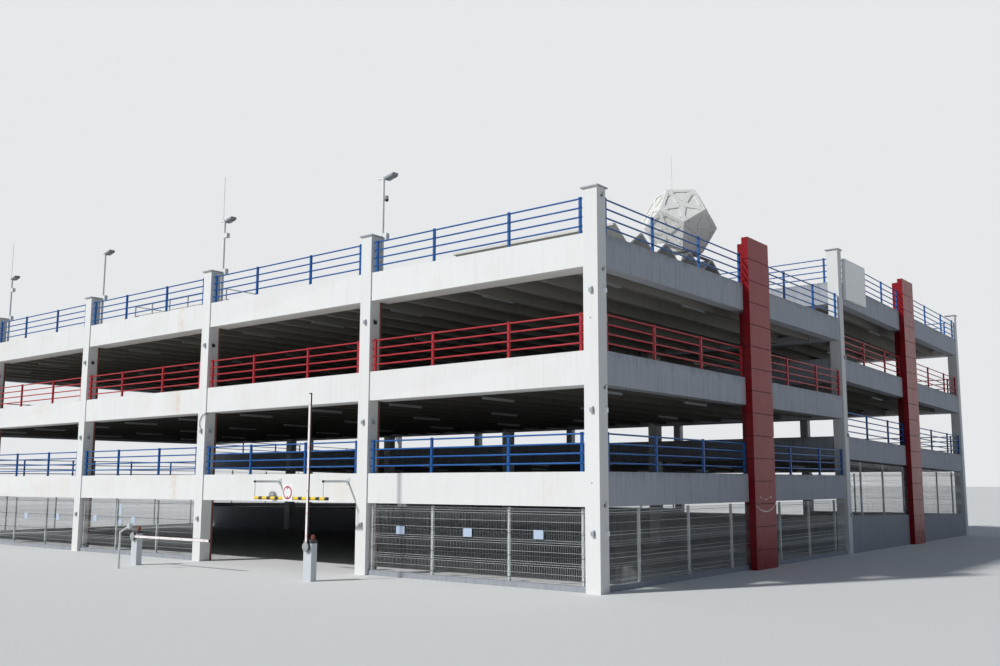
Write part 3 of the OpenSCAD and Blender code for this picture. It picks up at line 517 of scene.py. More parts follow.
class CARPARK_OT_concrete(bpy.types.Operator):
    """Finishes columns, spandrels, decks and ground walls as precast and site-cast concrete"""
    bl_idname = "carpark.concrete"
    bl_label = "Concrete"

    def execute(self, context):
        c = colours()
        smooth = precast_concrete("steel_formed_concrete", c.concrete, c.grime, 0.065)
        # One seam of the form shows on every front spandrel, some 1.2 m from its right end
        along = smooth.add("Math", smooth.add("SeparateXYZ", out="X"), SEAM_X, operation="SUBTRACT")
        along = smooth.add("Math", along, BAY, operation="FLOORED_MODULO")
        seam = smooth.add("Math", along, 0.007, operation="LESS_THAN")
        smooth.mark(smooth.all_of(seam, 0.3), c.grime, 0.7)
        # Rust has run down from a form tie at one place of the third bay, on every floor
        run = smooth.add("MapRange", smooth.off("X", RUST_X), 0.06, 0.24, 1.0, 0.0)
        broken = smooth.add("TexNoise", Scale=per_mm(260), Detail=5.0, Roughness=0.65)
        smooth.mark(smooth.all_of(run, smooth.add("MapRange", broken, 0.36, 0.64, 0.0, 0.55)), "#D3AE84")
        warm = smooth.add("TexNoise", Scale=per_mm(1500), Detail=4.0, Roughness=0.6)
        smooth.mark(smooth.add("MapRange", warm, 0.52, 0.72, 0.0, 0.16), "#D0BC9F")
        dress(smooth, "front_spandrels", "back_spandrels")
        plain = precast_concrete("steel_formed_column_concrete", c.concrete, c.grime, 0.07)
        dress(plain, "front_columns", "split_columns", "back_columns", "left_gable_columns")
        worn = precast_concrete("weathered_gable_concrete", c.gable, c.grime, 0.32, mottle=0.6)
        dress(worn, "right_spandrels", "left_spandrels", "split_kerbs", "split_beams")
        deck = precast_concrete("ribbed_deck_concrete", c.deck, c.grime, 0.2)
        # The double tees lie side by side, with a dark sealed joint between each two
        across = deck.add("Math", deck.add("SeparateXYZ", out="X"), TEE_START, operation="ADD")
        across = deck.add("Math", across, TEE_WIDTH, operation="FLOORED_MODULO")
        sealed = deck.add("Math", across, 0.022, operation="LESS_THAN")
        deck.mark(deck.all_of(sealed, 0.55), "#4A4945")
        # Painted shade: faces of the decks and ribs that don't face up, low in the storeys, are darkened
        upward = deck.add("SeparateXYZ", deck.add("NewGeometry", out="Normal"), out="Z")
        under = deck.add("Math", upward, 0.5, operation="LESS_THAN")
        low = deck.add("Math", deck.add("SeparateXYZ", out="Z"), DECK_SHADE_TOP, operation="LESS_THAN")
        deck.mark(deck.all_of(under, low, 0.65), "#24221F")
        dress(deck, "deck_slabs", "tee_ribs")
        cast = precast_concrete("site_cast_concrete", rgba(c.gable, 0.8), c.grime, 0.3)
        dress(cast, "rear_plinth", "ground_curbs", "plate_supports")
        soften(0.012, "front_columns", "split_columns", "back_columns", "left_gable_columns", "front_spandrels",
               "right_spandrels", "left_spandrels", "back_spandrels", "ground_curbs", "rear_plinth")
        dress(coated_metal("folded_zinc_sheet", c.cap, 0.5, 0.3, 0.15), "column_caps")
        soften(0.005, "column_caps")
        return {"FINISHED"}


class CARPARK_OT_cladding(bpy.types.Operator):
    """Finishes the pylons and the columns behind them as composite panels, with joint gaskets and a scuff"""
    bl_idname = "carpark.cladding"
    bl_label = "Cladding"

    def execute(self, context):
        panel = composite_panel("satin_gloss_composite_panel", colours().cladding)
        dress(panel, "rear_pylon", "clad_columns")
        lo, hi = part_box("front_pylon")
        scuffed = composite_panel("scuffed_composite_panel", colours().cladding)
        self.scuff(scuffed, (lo.y + hi.y) / 2, 1.92)
        dress(scuffed, "front_pylon")
        gasket = moulded_rubber("extruded_joint_gasket", "#2A1416")
        bm = bmesh.new()
        for name in ("front_pylon", "rear_pylon"):
            lo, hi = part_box(name)
            for i in range(1, int(hi.z / PANEL) + 1):
                self.strip(bm, lo, hi, hi.z - i * PANEL)
        piece("cladding_gaskets", bm, gasket)
        return {"FINISHED"}

    def scuff(self, f, middle, height):
        """Scraped white marks: a long sagging arc and a short broken one above it."""
        y = f.add("Math", f.add("SeparateXYZ", out="Y"), middle, operation="SUBTRACT")
        z = f.add("Math", f.add("SeparateXYZ", out="Z"), height, operation="SUBTRACT")
        sagging = f.add("Math", z, f.all_of(y, y, 0.42), operation="SUBTRACT")
        ragged = f.add("TexNoise", Scale=per_mm(70), Detail=4.0, Roughness=0.7)
        marks = []
        for drop, reach, width, gap in ((-0.30, 0.70, 0.022, 0.42), (0.05, 0.42, 0.030, 0.52)):
            off = f.add("Math", sagging, drop, operation="SUBTRACT")
            off = f.add("Math", off, operation="ABSOLUTE")
            line = f.add("Math", off, f.add("MapRange", ragged, 0.35, 0.6, 0.004, width), operation="LESS_THAN")
            near = f.add("Math", y, 0.0, reach, operation="COMPARE")
            marks.append(f.all_of(line, near, f.add("Math", ragged, gap, operation="GREATER_THAN")))
        either = f.add("Math", *marks, operation="MAXIMUM")
        f.mark(f.all_of(either, 0.9), "#E2CFCA")

    def strip(self, bm, lo, hi, z):
        """A gasket on the floor of one joint, round the three outer sides of a pylon."""
        sink, wide = 0.0195, 0.018
        plate(bm, (hi.x - sink, (lo.y + hi.y) / 2, z), (0.001, hi.y - lo.y - 2 * sink, wide))
        for y in (lo.y + sink, hi.y - sink):
            plate(bm, ((lo.x + hi.x) / 2 - sink / 2, y, z), (hi.x - lo.x - sink, 0.001, wide))


def rail_posts():
    """Every railing post: the level's name, the middle of its foot and its outward direction."""
    tails = {1: "first", 2: "second", 3: "roof"}
    for level in LEVELS:
        for k in range(BAYS):
            left = column_left(k + 1) + COLUMN_W
            for x in [left + p for p in BAY_RAIL_POSTS]:
                yield tails[level], Vector((x, FRONT_FACE + RAIL_IN, top_at(level))), Vector((0, -1, 0))
                back = top_at(level, True) - FALL * SPLIT
                yield tails[level], Vector((x, BACK_FACE - RAIL_IN, back)), Vector((0, 1, 0))
                if level == 3:
                    yield "roof", Vector((x, SPLIT + FRONT_FACE + RAIL_IN, top_at(3, True))), Vector((0, -1, 0))
        for (start, _), posts in zip(GABLE_RUNS, GABLE_RAIL_POSTS):
            for place in [start + p for p in posts]:
                z = gable_top(level, place)
                yield tails[level], Vector((RIGHT_FACE - RAIL_IN, place + FRONT_FACE, z)), Vector((1, 0, 0))
                yield tails[level], Vector((LEFT_FACE + RAIL_IN, place + FRONT_FACE, z)), Vector((-1, 0, 0))


class CARPARK_OT_railings(bpy.types.Operator):
    """Finishes the railings as enamelled steel and adds clamps, bolts and foot plates"""
    bl_idname = "carpark.railings"
    bl_label = "Railings"

    def execute(self, context):
        c, s = colours(), sizes()
        blue = gloss_enamel("blue_enamelled_steel", c.blue, "#3A78BE")
        red = gloss_enamel("red_enamelled_steel", c.red, "#CC4A52")
        for side in ("front", "right", "far"):
            dress(blue, side + "_rails_first", side + "_rails_roof")
            dress(red, side + "_rails_second")
        feet = {"blue": bmesh.new(), "red": bmesh.new()}
        clamps = bmesh.new()
        for tail, foot, out in rail_posts():
            bm = feet["red" if tail == "second" else "blue"]
            plate(bm, foot + Vector((0, 0, 0.005)), (s.foot_plate, s.foot_plate, 0.01), chamfer=0.002)
            side = Vector((out.y, out.x, 0))
            for reach in (-0.045, 0.045):
                disc(clamps, foot + side * reach + Vector((0, 0, 0.01)), (0, 0, 1), 0.011, 0.010, 6)
            for height in RAIL_HEIGHTS:
                disc(clamps, foot + out * POST / 2 + Vector((0, 0, height)), out, s.clamp / 2, 0.008, 8)
        piece("blue_foot_plates", feet["blue"], blue)
        piece("red_foot_plates", feet["red"], red)
        dark = coated_metal("black_zinc_bolt", "#2B2D31", 0.4, 0.2, 0.5)
        piece("rail_clamps_and_bolts", clamps, dark)
        return {"FINISHED"}


def bay_ends(k, y):
    """The two ends of the mesh of bay k, counted from the corner to the left."""
    left = column_left(k + 1) + COLUMN_W + MESH_CLEAR
    return (left, y, 0), (left + BAY - COLUMN_W - 2 * MESH_CLEAR, y, 0)


def fence_run(bm, clips, ends, normal, posts, foot, top, fall=0.0):
    """Welded mesh outside the fence posts between two points in plan, with V folds, and its clips at the posts."""
    s = sizes()
    low, high = foot + MESH_CLEAR, top - MESH_CLEAR
    start, end = Vector(ends[0]), Vector(ends[1])
    run = end - start
    way = run.normalized()
    out = Vector(normal)
    face = out * (POST / 2 + s.wire_width / 2 + 0.001)
    up = Vector((0, 0, 1))
    tall = high - low
    radius = s.wire_width / 2
    # Heights of the folds and of the cross wires, as shares of the panel's height
    folds = ((0.215, 0.275), (0.51, 0.57), (0.925, 0.99))
    flats = (0.0, 0.12, 0.41, 0.70, 0.82)
    count = max(1, round(run.length / s.wire_pitch))
    for i in range(count + 1):
        reach = run.length * (i + 0.5) / (count + 1)
        base = start + way * reach + face + up * (low - fall * reach)
        points = [base]
        for a, b in folds:
            crest = base + up * (a + b) / 2 * tall + out * s.fold_reach
            points += [base + up * a * tall, crest, base + up * b * tall]
        points.append(base + up * tall)
        wire(bm, points, radius)
    levels = [(h, 0.0) for h in flats] + [(1.0, 0.0)]
    for a, b in folds:
        levels += [(a, 0.0), ((a + b) / 2, s.fold_reach), (b, 0.0)]
    for h, reach in levels:
        shift = face + out * (reach + s.wire_width * 0.9) + up * (low + h * tall)
        bar(bm, start + shift, end + shift - up * fall * run.length, radius)
    # A clip at each post holds each of the middle cross wires
    size = (0.03, 0.006, 0.03) if out.y else (0.006, 0.03, 0.03)
    for p in [post - MESH_CLEAR for post in posts]:
        at = start + way * p + out * (POST / 2 + s.wire_width + 0.003)
        for h in flats[1:4]:
            plate(clips, at + up * (low - fall * p + h * tall), size)


class CARPARK_OT_fences(bpy.types.Operator):
    """Finishes the ground floor fences as galvanised steel and fills them with welded mesh and blank plates"""
    bl_idname = "carpark.fences"
    bl_label = "Fences"

    def execute(self, context):
        c, s = colours(), sizes()
        zinc = galvanised_steel("hot_dip_galvanised_steel", c.zinc)
        dress(zinc, "right_fence", "far_fence", "height_bar_arms", "roof_guard", "reader_post")
        # Painted shade: the stiffening bars behind the front mesh are painted dark, for the mesh's shadow on them
        posts = galvanised_steel("galvanised_post_shaded_bars", c.zinc)
        for share in FENCE_BARS:
            height = CURB + share * (FENCE_TOP - CURB)
            posts.mark(posts.add("Math", posts.off("Z", height), 0.008, operation="LESS_THAN"), "#3B3D3E")
        dress(posts, "front_fence")
        dress(galvanised_steel("bright_galvanised_mast", "#E6E9EA", 0.1), "lamp_masts", "lightning_rods")
        drawn = galvanised_steel("galvanised_drawn_wire", c.zinc, 0.2)
        clips = bmesh.new()
        self.bay_meshes("front_mesh", drawn, clips)
        self.gable_meshes("right_mesh", drawn, clips, "right_fence", 1)
        self.gable_meshes("far_mesh", drawn, clips, "far_fence", -1)
        piece("mesh_clips", clips, zinc)
        blank = coated_metal("blank_enamelled_plate", "#B7C6DA", 0.35, 0.15)
        lo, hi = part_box("front_fence")
        face = (lo.y + hi.y) / 2 - POST / 2 - s.fold_reach - s.wire_width * 2.5
        bm = bmesh.new()
        # Middle and height of each plate, and its width and height as shares of the common side
        plates = ((-6.09, 1.212, 1.2, 0.82), (-3.77, 1.224, 1.12, 0.82), (-1.58, 1.241, 1.14, 0.84),
                  (-21.35, 1.189, 0.9, 0.9), (-18.87, 1.176, 0.9, 0.8), (-19.694, 1.51, 0.7, 1.4),
                  (-19.685, 1.103, 0.8, 0.6), (-26.475, 1.173, 0.9, 0.9), (-24.024, 1.168, 0.9, 0.9))
        for x, z, wide, high in plates:
            plate(bm, (x, face, z), (s.blank_plate * wide, 0.004, s.blank_plate * high), chamfer=0.0012)
            for side in (-1, 1):
                disc(bm, (x + side * 0.3 * s.blank_plate * wide, face - 0.002, z), (0, -1, 0), 0.008, 0.004, 6)
        piece("blank_plates", bm, blank)
        return {"FINISHED"}

    def bay_meshes(self, name, finish, clips):
        lo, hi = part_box("front_fence")
        bm = bmesh.new()
        y = (lo.y + hi.y) / 2
        for k in MESHED_BAYS:
            fence_run(bm, clips, bay_ends(k, y), (0, -1, 0), BAY_FENCE_POSTS, CURB, hi.z)
        piece(name, bm, finish)

    def gable_meshes(self, name, finish, clips, node, side):
        lo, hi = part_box(node)
        x = (lo.x + hi.x) / 2 if side > 0 else lo.x + POST / 2
        bm = bmesh.new()
        for i, ((start, end), posts) in enumerate(zip(GABLE_RUNS, GABLE_FENCE_POSTS)):
            rear = i > 1
            lowered = FALL * (start - SPLIT) if rear else 0.0
            low, high = (PLINTH, REAR_FENCE_TOP) if rear else (CURB, FENCE_TOP)
            ends = ((x, start + FRONT_FACE + MESH_CLEAR, 0), (x, end + FRONT_FACE - MESH_CLEAR, 0))
            fence_run(bm, clips, ends, (side, 0, 0), posts, low - lowered, high - lowered, FALL if rear else 0.0)
        if side < 0:
            lowered = FALL * SPLIT
            for k in MESHED_BAYS:
                fence_run(bm, clips, bay_ends(k, hi.y - POST / 2), (0, 1, 0), BAY_FENCE_POSTS, PLINTH - lowered,
                          REAR_FENCE_TOP - lowered)
        piece(name, bm, finish)


def dodecahedron_faces():
    """Middle, outward direction and the direction to one corner of the upper eleven faces of the dodecahedron."""
    lo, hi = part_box("dodecahedron")
    radius = (hi.z - lo.z) / 2
    # The box isn't even about the middle in plan, so only its height is taken from it
    middle = Vector((RIGHT_FACE - 2.0, FRONT_FACE + 7.55, (lo.z + hi.z) / 2))
    tilt = math.radians(63.4349)
    turns = [(0.0, 0.0, math.radians(-54))]
    for i in range(5):
        turns.append((tilt, math.radians(-54 + 72 * i), math.pi))
        turns.append((math.pi - tilt, math.radians(-90 + 72 * i), 0.0))
    for lean, heading, start in turns:
        turn = Matrix.Rotation(heading, 3, "Z") @ Matrix.Rotation(lean, 3, "Y")
        yield middle + turn @ Vector((0, 0, radius)), turn, start


class CARPARK_OT_roof(bpy.types.Operator):
    """Finishes the folded plate, the dodecahedron, the board and the lamps on the roof"""
    bl_idname = "carpark.roof"
    bl_label = "Roof pieces"

    def execute(self, context):
        c = colours()
        white = precast_concrete("fair_faced_white_concrete", "#E4E3DE", c.grime, 0.16)
        dress(white, "folded_plate", "dodecahedron")
        soften(0.006, "dodecahedron")
        dress(coated_metal("grey_cast_aluminium", "#8E9296", 0.4, 0.3, 0.2), "mast_lamps")
        dress(coated_metal("white_coated_housing", "#E2E4E3", 0.35, 0.2), "mast_boxes")
        soften(0.006, "mast_boxes")
        dress(coated_metal("plain_white_sheet", "#E9EAE9", 0.3, 0.15), "sign_board")
        self.panel_bolts(coated_metal("zinc_plated_bolt", "#6C6D6E", 0.4, 0.2, 0.4))
        self.board_frame(coated_metal("mill_finish_angle", "#B9BCBD", 0.4, 0.2, 0.5))
        self.mast_fittings()
        return {"FINISHED"}

    def panel_bolts(self, finish):
        """Bolt heads beside the corners of the recessed panels, at shares of the edge of a face."""
        edge = 0.84
        bm = bmesh.new()
        for middle, turn, start in dodecahedron_faces():
            for j in range(5):
                way = Matrix.Rotation(start + math.radians(72 * j), 3, "Z")
                for x, y in ((0.155, 0.0), (0.575, 0.30), (0.575, -0.30)):
                    at = middle + turn @ (way @ Vector((x * edge, y * edge, 0.0)))
                    disc(bm, at, turn @ Vector((0, 0, 1)), 0.013, 0.008, 6)
        piece("dodecahedron_bolts", bm, finish)

    def board_frame(self, finish):
        """Folded edge angles round the blank board."""
        lo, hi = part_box("sign_board")
        bm = bmesh.new()
        out = hi.x + 0.002
        for z in (lo.z + 0.02, hi.z - 0.02):
            plate(bm, (out - 0.002, (lo.y + hi.y) / 2, z), (0.006, hi.y - lo.y, 0.04), chamfer=0.002)
        for y in (lo.y + 0.02, hi.y - 0.02):
            plate(bm, (out - 0.002, y, (lo.z + hi.z) / 2), (0.006, 0.04, hi.z - lo.z - 0.08), chamfer=0.002)
        piece("board_edge_angles", bm, finish)

    def mast_fittings(self):
        """Foot flanges and clamp bolts of the masts, the glass of the floodlights and the dome's lens."""
        steel, glass = bmesh.new(), bmesh.new()
        deck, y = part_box("lamp_masts")[0].z, MAST_Y
        flange, thick, bolts = 0.11, 0.012, 0.085
        for k in range(1, BAYS + 1):
            x = RIGHT_FACE - k * BAY + (0.06 if k == BAYS else -0.05)
            turned(steel, (x, y, deck), (0, 0, 1), [(0.0, thick), (flange, thick), (flange, 0.0), (0.041, 0.0)], 16)
            for a in range(4):
                turn = math.radians(45 + 90 * a)
                at = (x + bolts * math.cos(turn), y + bolts * math.sin(turn), deck + thick)
                disc(steel, at, (0, 0, 1), 0.012, 0.018, 6)
            disc(steel, (x - 0.04, y, deck + 3.04), (0, 0, 1), 0.03, 0.02, 8)
            disc(glass, (x + 0.300, y, deck + 2.985), (0.208, 0, -0.978), 0.085, 0.018, 16)
        piece("mast_flanges", steel, galvanised_steel("galvanised_flange", colours().zinc))
        lens = tinted_polycarbonate("clear_floodlight_glass", "#AEB6BC", 0.3)
        piece("floodlight_glass", glass, lens)
        dome = bmesh.new()
        at = (RIGHT_FACE - BAY + 0.09, y, deck + 2.37)
        turned(dome, at, (0, 0, -1), [(0.0, -0.01), (0.059, -0.01), (0.059, 0.0), (0.056, 0.02), (0.045, 0.038),
                                      (0.028, 0.051), (0.0, 0.0585)], 24)
        smoked = tinted_polycarbonate("smoked_polycarbonate_dome", "#26282B", 0.1)
        piece("dome_lens", dome, smoked, smooth=True)


class CARPARK_OT_fittings(bpy.types.Operator):
    """Finishes strip lights, pipes and wall boxes and adds lenses, pipe collars and the hooks of the columns"""
    bl_idname = "carpark.fittings"
    bl_label = "Fittings"

    def execute(self, context):
        dress(opal_acrylic("opal_acrylic_tube", "#9A9D9D"), "ceiling_lights")
        self.box_finish()
        pipe = coated_metal("brown_coated_pipe", "#74473B", 0.5, 0.3)
        dress(pipe, "downpipes")
        bm = bmesh.new()
        for k in range(1, BAYS + 1):
            # The last pipe stands clear of the gable's ledge, the others close behind their columns
            in_x, in_y = (0.06, 0.705) if k == BAYS else (-0.02, 0.405)
            x, y = RIGHT_FACE - k * BAY + in_x, FRONT_FACE + in_y
            for level in LEVELS:
                foot = 0.0 if level == 1 else top_at(level - 1) - KERB
                for z in (foot + 0.04, foot + 1.2, top_at(level) - KERB - 0.16):
                    disc(bm, (x, y, z), (0, 0, 1), 0.043, 0.035, 12)
        piece("pipe_collars", bm, pipe)
        self.wall_lamps()
        self.column_marks()
        return {"FINISHED"}

    def box_finish(self):
        """Grey covers, near white as a painted highlight on the corner column's side, black high on the next columns.
        """
        f = coated_metal("light_grey_cast_aluminium", "#A2A7AB", 0.4, 0.25, 0.1)
        y = f.add("SeparateXYZ", out="Y")
        side = f.all_of(f.add("Math", y, FRONT_FACE + 0.01, operation="GREATER_THAN"),
                        f.add("Math", y, 1.0, operation="LESS_THAN"))
        corner = f.add("Math", f.add("SeparateXYZ", out="X"), RIGHT_FACE - 0.1, operation="GREATER_THAN")
        inner = f.add("Math", 1.0, corner, operation="SUBTRACT")
        high = f.add("Math", f.add("SeparateXYZ", out="Z"), 6.0, operation="GREATER_THAN")
        # Painted highlight: near white on the corner column's side boxes; black on the high side boxes of the others
        f.mark(f.all_of(side, corner), "#F2F3F3")
        f.mark(f.all_of(side, inner, high), "#26272A")
        dress(f, "wall_boxes")
        soften(0.006, "wall_boxes")

    def wall_lamps(self):
        """A pale lens on the sloping top of every wall box, and the glass and guard of the round lamp."""
        half, reach, radius, sides = 0.03, 0.040, 0.016, 10
        bm = bmesh.new()
        for level in LEVELS:
            z = top_at(level) - SPANDREL - BOX_DROP + 0.046
            for k in range(BAYS + 1):
                x, y = RIGHT_FACE - k * BAY - 0.18, FRONT_FACE - reach
                bar(bm, (x - half, y, z), (x + half, y, z), radius, sides)
            faces = [(RIGHT_FACE, 0.26), (RIGHT_FACE, SPLIT + 0.26)]
            if level > 1:
                faces += [(RIGHT_FACE - k * BAY, 0.17) for k in range(1, BAYS + 1)]
            for x, y in faces:
                ends = [(x + reach, y + FRONT_FACE + way, z) for way in (-half, half)]
                bar(bm, *ends, radius, sides)
        piece("lamp_lenses", bm, opal_acrylic("opal_lens", "#DADEE2"))
        at = Vector((RIGHT_FACE - 11.46, FRONT_FACE - 0.04, 2.07))
        bm = bmesh.new()
        turned(bm, at, (0, -1, 0), [(0.0, 0.0), (0.1, 0.0), (0.095, 0.02), (0.06, 0.034), (0.0, 0.038)], 24)
        piece("round_lamp_glass", bm, tinted_polycarbonate("ribbed_lamp_glass", "#C9CBC6", 0.2))
        bm = bmesh.new()
        rim = [(0.118, 0.0), (0.122, 0.012), (0.116, 0.024), (0.106, 0.024), (0.102, 0.012), (0.106, 0.0),
               (0.118, 0.0)]
        turned(bm, at, (0, -1, 0), rim, 32)
        for way in (Vector((1, 0, 0)), Vector((0, 0, 1))):
            points = [at + way * reach + Vector((0, -rise, 0)) for reach, rise in
                      ((-0.112, 0.02), (-0.08, 0.044), (0.0, 0.05), (0.08, 0.044), (0.112, 0.02))]
            wire(bm, points, 0.005, 6)
        piece("round_lamp_guard", bm, coated_metal("grey_cast_guard", "#8E9294", 0.5, 0.3, 0.2))

    def column_marks(self):
        """Black hooks of the corner column, black discs on it as painted shade of bolt holes, and a bent cable up
        from one wall lamp.
        """
        bm = bmesh.new()
        for y, z in ((0.18, 9.08), (0.21, 7.33), (0.22, 4.59), (0.18, 1.94)):
            at = Vector((RIGHT_FACE, y + FRONT_FACE, z))
            plate(bm, at + Vector((0.004, 0, 0)), (0.008, 0.035, 0.05), chamfer=0.002)
            bends = ((0.0, 0.0, -0.03), (0.035, 0.0, -0.045), (0.05, 0.005, -0.01), (0.02, 0.01, 0.02),
                     (0.03, 0.02, 0.055), (0.055, 0.02, 0.06))
            wire(bm, [at + Vector(bend) for bend in bends], 0.008, 6)
        # Painted shade: flat black discs on the column's front stand for the dark of two bolt holes
        for z in (6.19, 2.433):
            disc(bm, (RIGHT_FACE - 0.21, FRONT_FACE, z), (0, -1, 0), 0.015, 0.002, 10)
        # One smooth bend of cable from the lamp to the column's edge, and round it
        bend = ((-15.18, 4.12), (-15.36, 4.36), (-15.17, 4.60), (-14.985, 4.62))
        run = []
        for i in range(17):
            t = i / 16
            shares = ((1 - t) ** 3, 3 * t * (1 - t) ** 2, 3 * t * t * (1 - t), t ** 3)
            x, z = (sum(share * point[axis] for share, point in zip(shares, bend)) for axis in (0, 1))
            run.append((x, -0.03, z))
        run += [(-14.985, 0.01, 4.62), (-14.985, 0.10, 4.62)]
        wire(bm, [Vector(point) + Vector((RIGHT_FACE, FRONT_FACE, 0)) for point in run], 0.011, 8)
        piece("column_hooks_and_cable", bm, moulded_rubber("black_moulded_plastic", colours().dark))


class CARPARK_OT_entrance(bpy.types.Operator):
    """Finishes the barriers, the height bar and its round sign and adds lids, beacons, hub covers and caps"""
    bl_idname = "carpark.entrance"
    bl_label = "Entrance"

    def execute(self, context):
        c = colours()
        dress(coated_metal("light_grey_powder_coat", "#C9CDD1", 0.45, 0.25), "barrier_cabinets")
        soften(0.008, "barrier_cabinets")
        hub = self.hub("right_boom")
        dress(boom_plank("white_aluminium_plank_upright", "Z", "X", hub.x, hub), "right_boom")
        hub = self.hub("left_boom")
        dress(boom_plank("white_aluminium_plank_level", "X", "Z", hub.z, hub), "left_boom")
        tube = banded_tube("yellow_tube_black_bands", c.yellow, "#1D1D1D", -10.779, 0.36, -9.48, 0.286)
        dress(tube, "height_bar")
        self.round_sign()
        self.dark_caps(moulded_rubber("moulded_black_cap", c.dark))
        self.barrier_fittings()
        return {"FINISHED"}

    def hub(self, name):
        """Where the axis of a boom meets its front face."""
        lo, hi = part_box(name)
        if name == "left_boom":
            return Vector((lo.x + HUB_IN, lo.y, (lo.z + hi.z) / 2))
        return Vector(((lo.x + hi.x) / 2, lo.y, HUB_HEIGHT))

    def round_sign(self):
        """White sheet with a red ring and the two plain arrow heads of a height limit, on a square white plate."""
        f = coated_metal("white_sheet_red_ring", "#ECECEA", 0.4, 0.1)
        lo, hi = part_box("round_sign")
        middle, size = (lo + hi) / 2, hi.x - lo.x
        side, up = f.off("X", middle.x), f.off("Z", middle.z)
        wide = f.all_of(f.add("Math", up, size * 0.24, operation="SUBTRACT"), 0.7)
        heads = f.all_of(f.add("Math", side, wide, operation="LESS_THAN"),
                         f.add("Math", up, size * 0.385, operation="LESS_THAN"))
        f.mark(heads, "#232426")
        f.mark(f.add("Math", f.round_off(middle), size * 0.40, operation="GREATER_THAN"), "#B81F2A")
        dress(f, "round_sign")
        bm = bmesh.new()
        plate(bm, (middle.x, hi.y - 0.003, middle.z), (0.42, 0.006, 0.46), chamfer=0.002)
        for x in (-1, 1):
            for z in (-1, 1):
                disc(bm, (middle.x + x * 0.19, hi.y - 0.006, middle.z + z * 0.21), (0, -1, 0), 0.009, 0.004, 8)
        piece("round_sign_back_plate", bm, coated_metal("white_backing_sheet", "#F1F1F0", 0.4, 0.1))

    def dark_caps(self, finish):
        """Black plugs in the ends of the bracket arms and the booms, and the chains of the height bar."""
        bm = bmesh.new()
        lo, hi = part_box("height_bar_arms")
        for x in (lo.x + ARM_IN, hi.x - ARM_IN):
            turned(bm, (x, lo.y, ARM_HEIGHT), (0, -1, 0), [(0.033, -0.03), (0.033, 0.004), (0.0, 0.006)], 16)
        piece("black_end_plugs", bm, finish)
        bm = bmesh.new()
        low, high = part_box("height_bar")
        for x in (lo.x + ARM_IN, hi.x - ARM_IN):
            for i in range(12):
                size = (0.028, 0.008, 0.036) if i % 2 else (0.008, 0.028, 0.036)
                plate(bm, (x, (low.y + high.y) / 2, high.z + 0.018 + i * 0.0305), size, chamfer=0.003)
        piece("hanging_chains", bm, galvanised_steel("galvanised_chain", colours().zinc, 0.5))
        for name in BOOMS:
            lo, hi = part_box(name)
            middle, size = (lo + hi) / 2, [0.079, 0.049, 0.079]
            along = 0 if name == "left_boom" else 2
            middle[along], size[along] = hi[along] - 0.014, 0.030
            bm = bmesh.new()
            plate(bm, middle, size, chamfer=0.004)
            piece(name + "_cap", bm, finish, body=name)

    def barrier_fittings(self):
        """Lids, beacons and the covers over the boom hubs."""
        lid_finish = coated_metal("dark_grey_lid", "#3B3E42", 0.5, 0.3)
        lens = tinted_polycarbonate("orange_beacon_lens", "#96492A", 0.35)
        cover = coated_metal("light_grey_hub_cover", "#9FA1A1", 0.5, 0.3, 0.1)
        lids, lamps = bmesh.new(), bmesh.new()
        for name in BOOMS:
            hub = self.hub(name)
            middle = Vector((hub.x, BARRIER_Y, CABINET_TOP))
            self.lid(lids, middle)
            at = middle + Vector((0.09, 0.0, 0.012))
            r = sizes().beacon / 2
            turned(lamps, at, (0, 0, 1), [(0.0, 0.0), (r * 0.8, 0.0), (r * 0.8, 0.02), (r, 0.025), (r, 0.09),
                                          (r * 0.8, 0.125), (0.0, 0.14)], 16)
            bm = bmesh.new()
            turned(bm, hub, (0, -1, 0), [(0.0, 0.026), (0.05, 0.026), (0.104, 0.020), (0.109, 0.0), (0.113, 0.0),
                                         (0.116, 0.012), (0.108, 0.024), (0.05, 0.030), (0.0, 0.030)], 32)
            piece(name.replace("boom", "hub_cover"), bm, cover, body=name)
        piece("cabinet_lids", lids, lid_finish)
        piece("beacons", lamps, lens)

    def lid(self, bm, middle):
        """A folded lid that laps over the top edge of a cabinet."""
        plate(bm, middle + Vector((0, 0, 0.005)), (0.306, 0.186, 0.012), chamfer=0.004)
        for x in (-1, 1):
            plate(bm, middle + Vector((x * 0.1515, 0, -0.034)), (0.003, 0.186, 0.066))
        for y in (-1, 1):
            plate(bm, middle + Vector((0, y * 0.0915, -0.034)), (0.300, 0.003, 0.066))


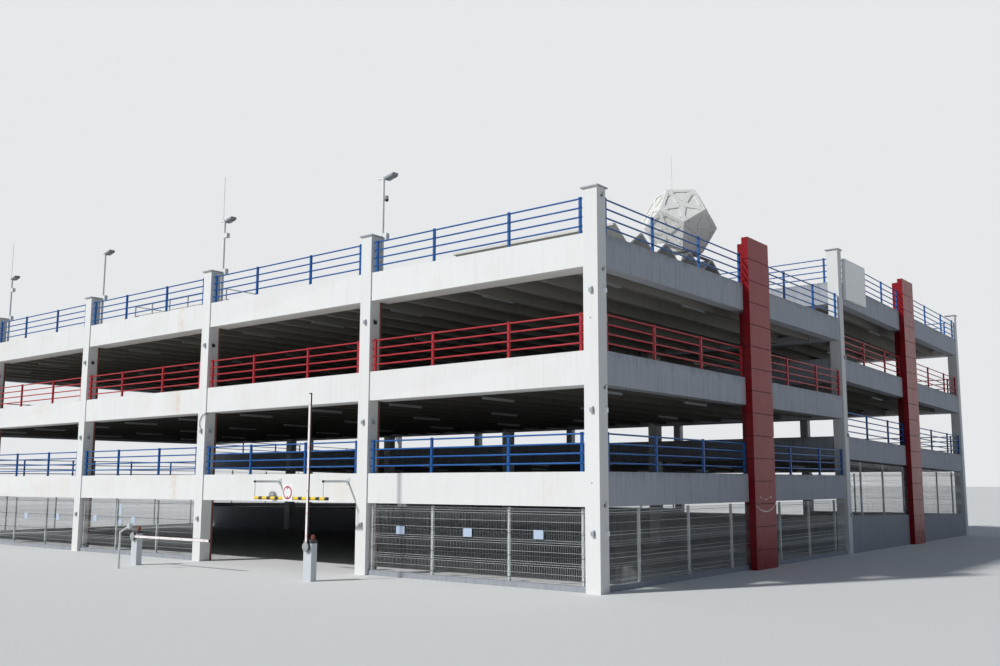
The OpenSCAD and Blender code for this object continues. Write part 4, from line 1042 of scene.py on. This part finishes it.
class CARPARK_OT_stage(bpy.types.Operator):
    """Sets the floor, the studio light and the camera"""
    bl_idname = "carpark.stage"
    bl_label = "Stage"

    def execute(self, context):
        scene = context.scene
        f = Finish("pale_matt_floor", colours().floor, Roughness=0.9, Specular_IOR_Level=0.2)
        patches = f.add("TexNoise", Scale=per_mm(2600), Detail=3.0, Roughness=0.55)
        f.mark(f.add("MapRange", patches, 0.3, 0.7, 0.0, 0.04), colours().floor, 0.9)
        bm = bmesh.new()
        bmesh.ops.create_grid(bm, x_segments=2, y_segments=2, size=600.0)
        mesh = bpy.data.meshes.new("floor")
        bm.to_mesh(mesh)
        bm.free()
        mesh.materials.append(f.material)
        floor = bpy.data.objects.new("floor", mesh)
        scene.collection.objects.link(floor)
        # The key stands front left and high, and the world fills the rest
        key = bpy.data.objects.new("key_light", bpy.data.lights.new("key_light", "SUN"))
        key.data.energy = 3.2
        key.data.angle = math.radians(3)
        key.rotation_euler = Vector((-0.42, -0.78, 0.72)).to_track_quat("Z", "Y").to_euler()
        scene.collection.objects.link(key)
        world = bpy.data.worlds.new("studio")
        scene.world = world
        world.use_nodes = True
        tree = world.node_tree
        tree.nodes.clear()
        rays = add(tree, "LightPath").node.outputs
        seen = add(tree, "Math", rays["Is Camera Ray"], rays["Is Glossy Ray"], operation="MAXIMUM")
        seen = add(tree, "Math", seen, rays["Is Transmission Ray"], operation="MAXIMUM")
        fill = add(tree, "Background", rgba("#BCCEEA"), 0.28)
        shown = add(tree, "Background", rgba("#E6E8EA"), 1.0)
        add(tree, "OutputWorld", add(tree, "MixShader", seen, fill, shown))
        camera = bpy.data.objects.new("camera", bpy.data.cameras.new("camera"))
        camera.data.sensor_width = 36.0
        camera.data.lens = 35.137
        camera.data.shift_x = -0.0227
        camera.data.shift_y = 0.0201
        camera.data.clip_start = 0.1
        camera.data.clip_end = 2000.0
        camera.location = (12.3098, -18.5107, 2.4444)
        camera.rotation_euler = (math.radians(97.5543), 0.0, math.radians(37.9228))
        scene.collection.objects.link(camera)
        scene.camera = camera
        scene.view_settings.view_transform = "Standard"
        return {"FINISHED"}


OPERATORS = (CARPARK_OT_concrete, CARPARK_OT_cladding, CARPARK_OT_railings, CARPARK_OT_fences, CARPARK_OT_roof,
             CARPARK_OT_fittings, CARPARK_OT_entrance, CARPARK_OT_stage)


class CARPARK_PT_panel(bpy.types.Panel):
    """Lists the steps that dress the car park"""
    bl_idname = "CARPARK_PT_panel"
    bl_label = "Car park"
    bl_space_type = "VIEW_3D"
    bl_region_type = "UI"
    bl_category = "Car park"

    def draw(self, context):
        layout = self.layout
        for group in (context.scene.car_park_colours, context.scene.car_park_sizes):
            box = layout.box()
            for name in group.__annotations__:
                box.prop(group, name)
        for operator in OPERATORS:
            layout.operator(operator.bl_idname)


CLASSES = (CarParkColours, CarParkSizes, *OPERATORS, CARPARK_PT_panel)


def register():
    for item in CLASSES:
        bpy.utils.register_class(item)
    bpy.types.Scene.car_park_colours = bpy.props.PointerProperty(type=CarParkColours)
    bpy.types.Scene.car_park_sizes = bpy.props.PointerProperty(type=CarParkSizes)


def unregister():
    del bpy.types.Scene.car_park_sizes
    del bpy.types.Scene.car_park_colours
    for item in reversed(CLASSES):
        bpy.utils.unregister_class(item)


def main():
    register()
    bpy.ops.carpark.concrete()
    bpy.ops.carpark.cladding()
    bpy.ops.carpark.railings()
    bpy.ops.carpark.fences()
    bpy.ops.carpark.roof()
    bpy.ops.carpark.fittings()
    bpy.ops.carpark.entrance()
    bpy.ops.carpark.stage()


if __name__ == "__main__":
    main()
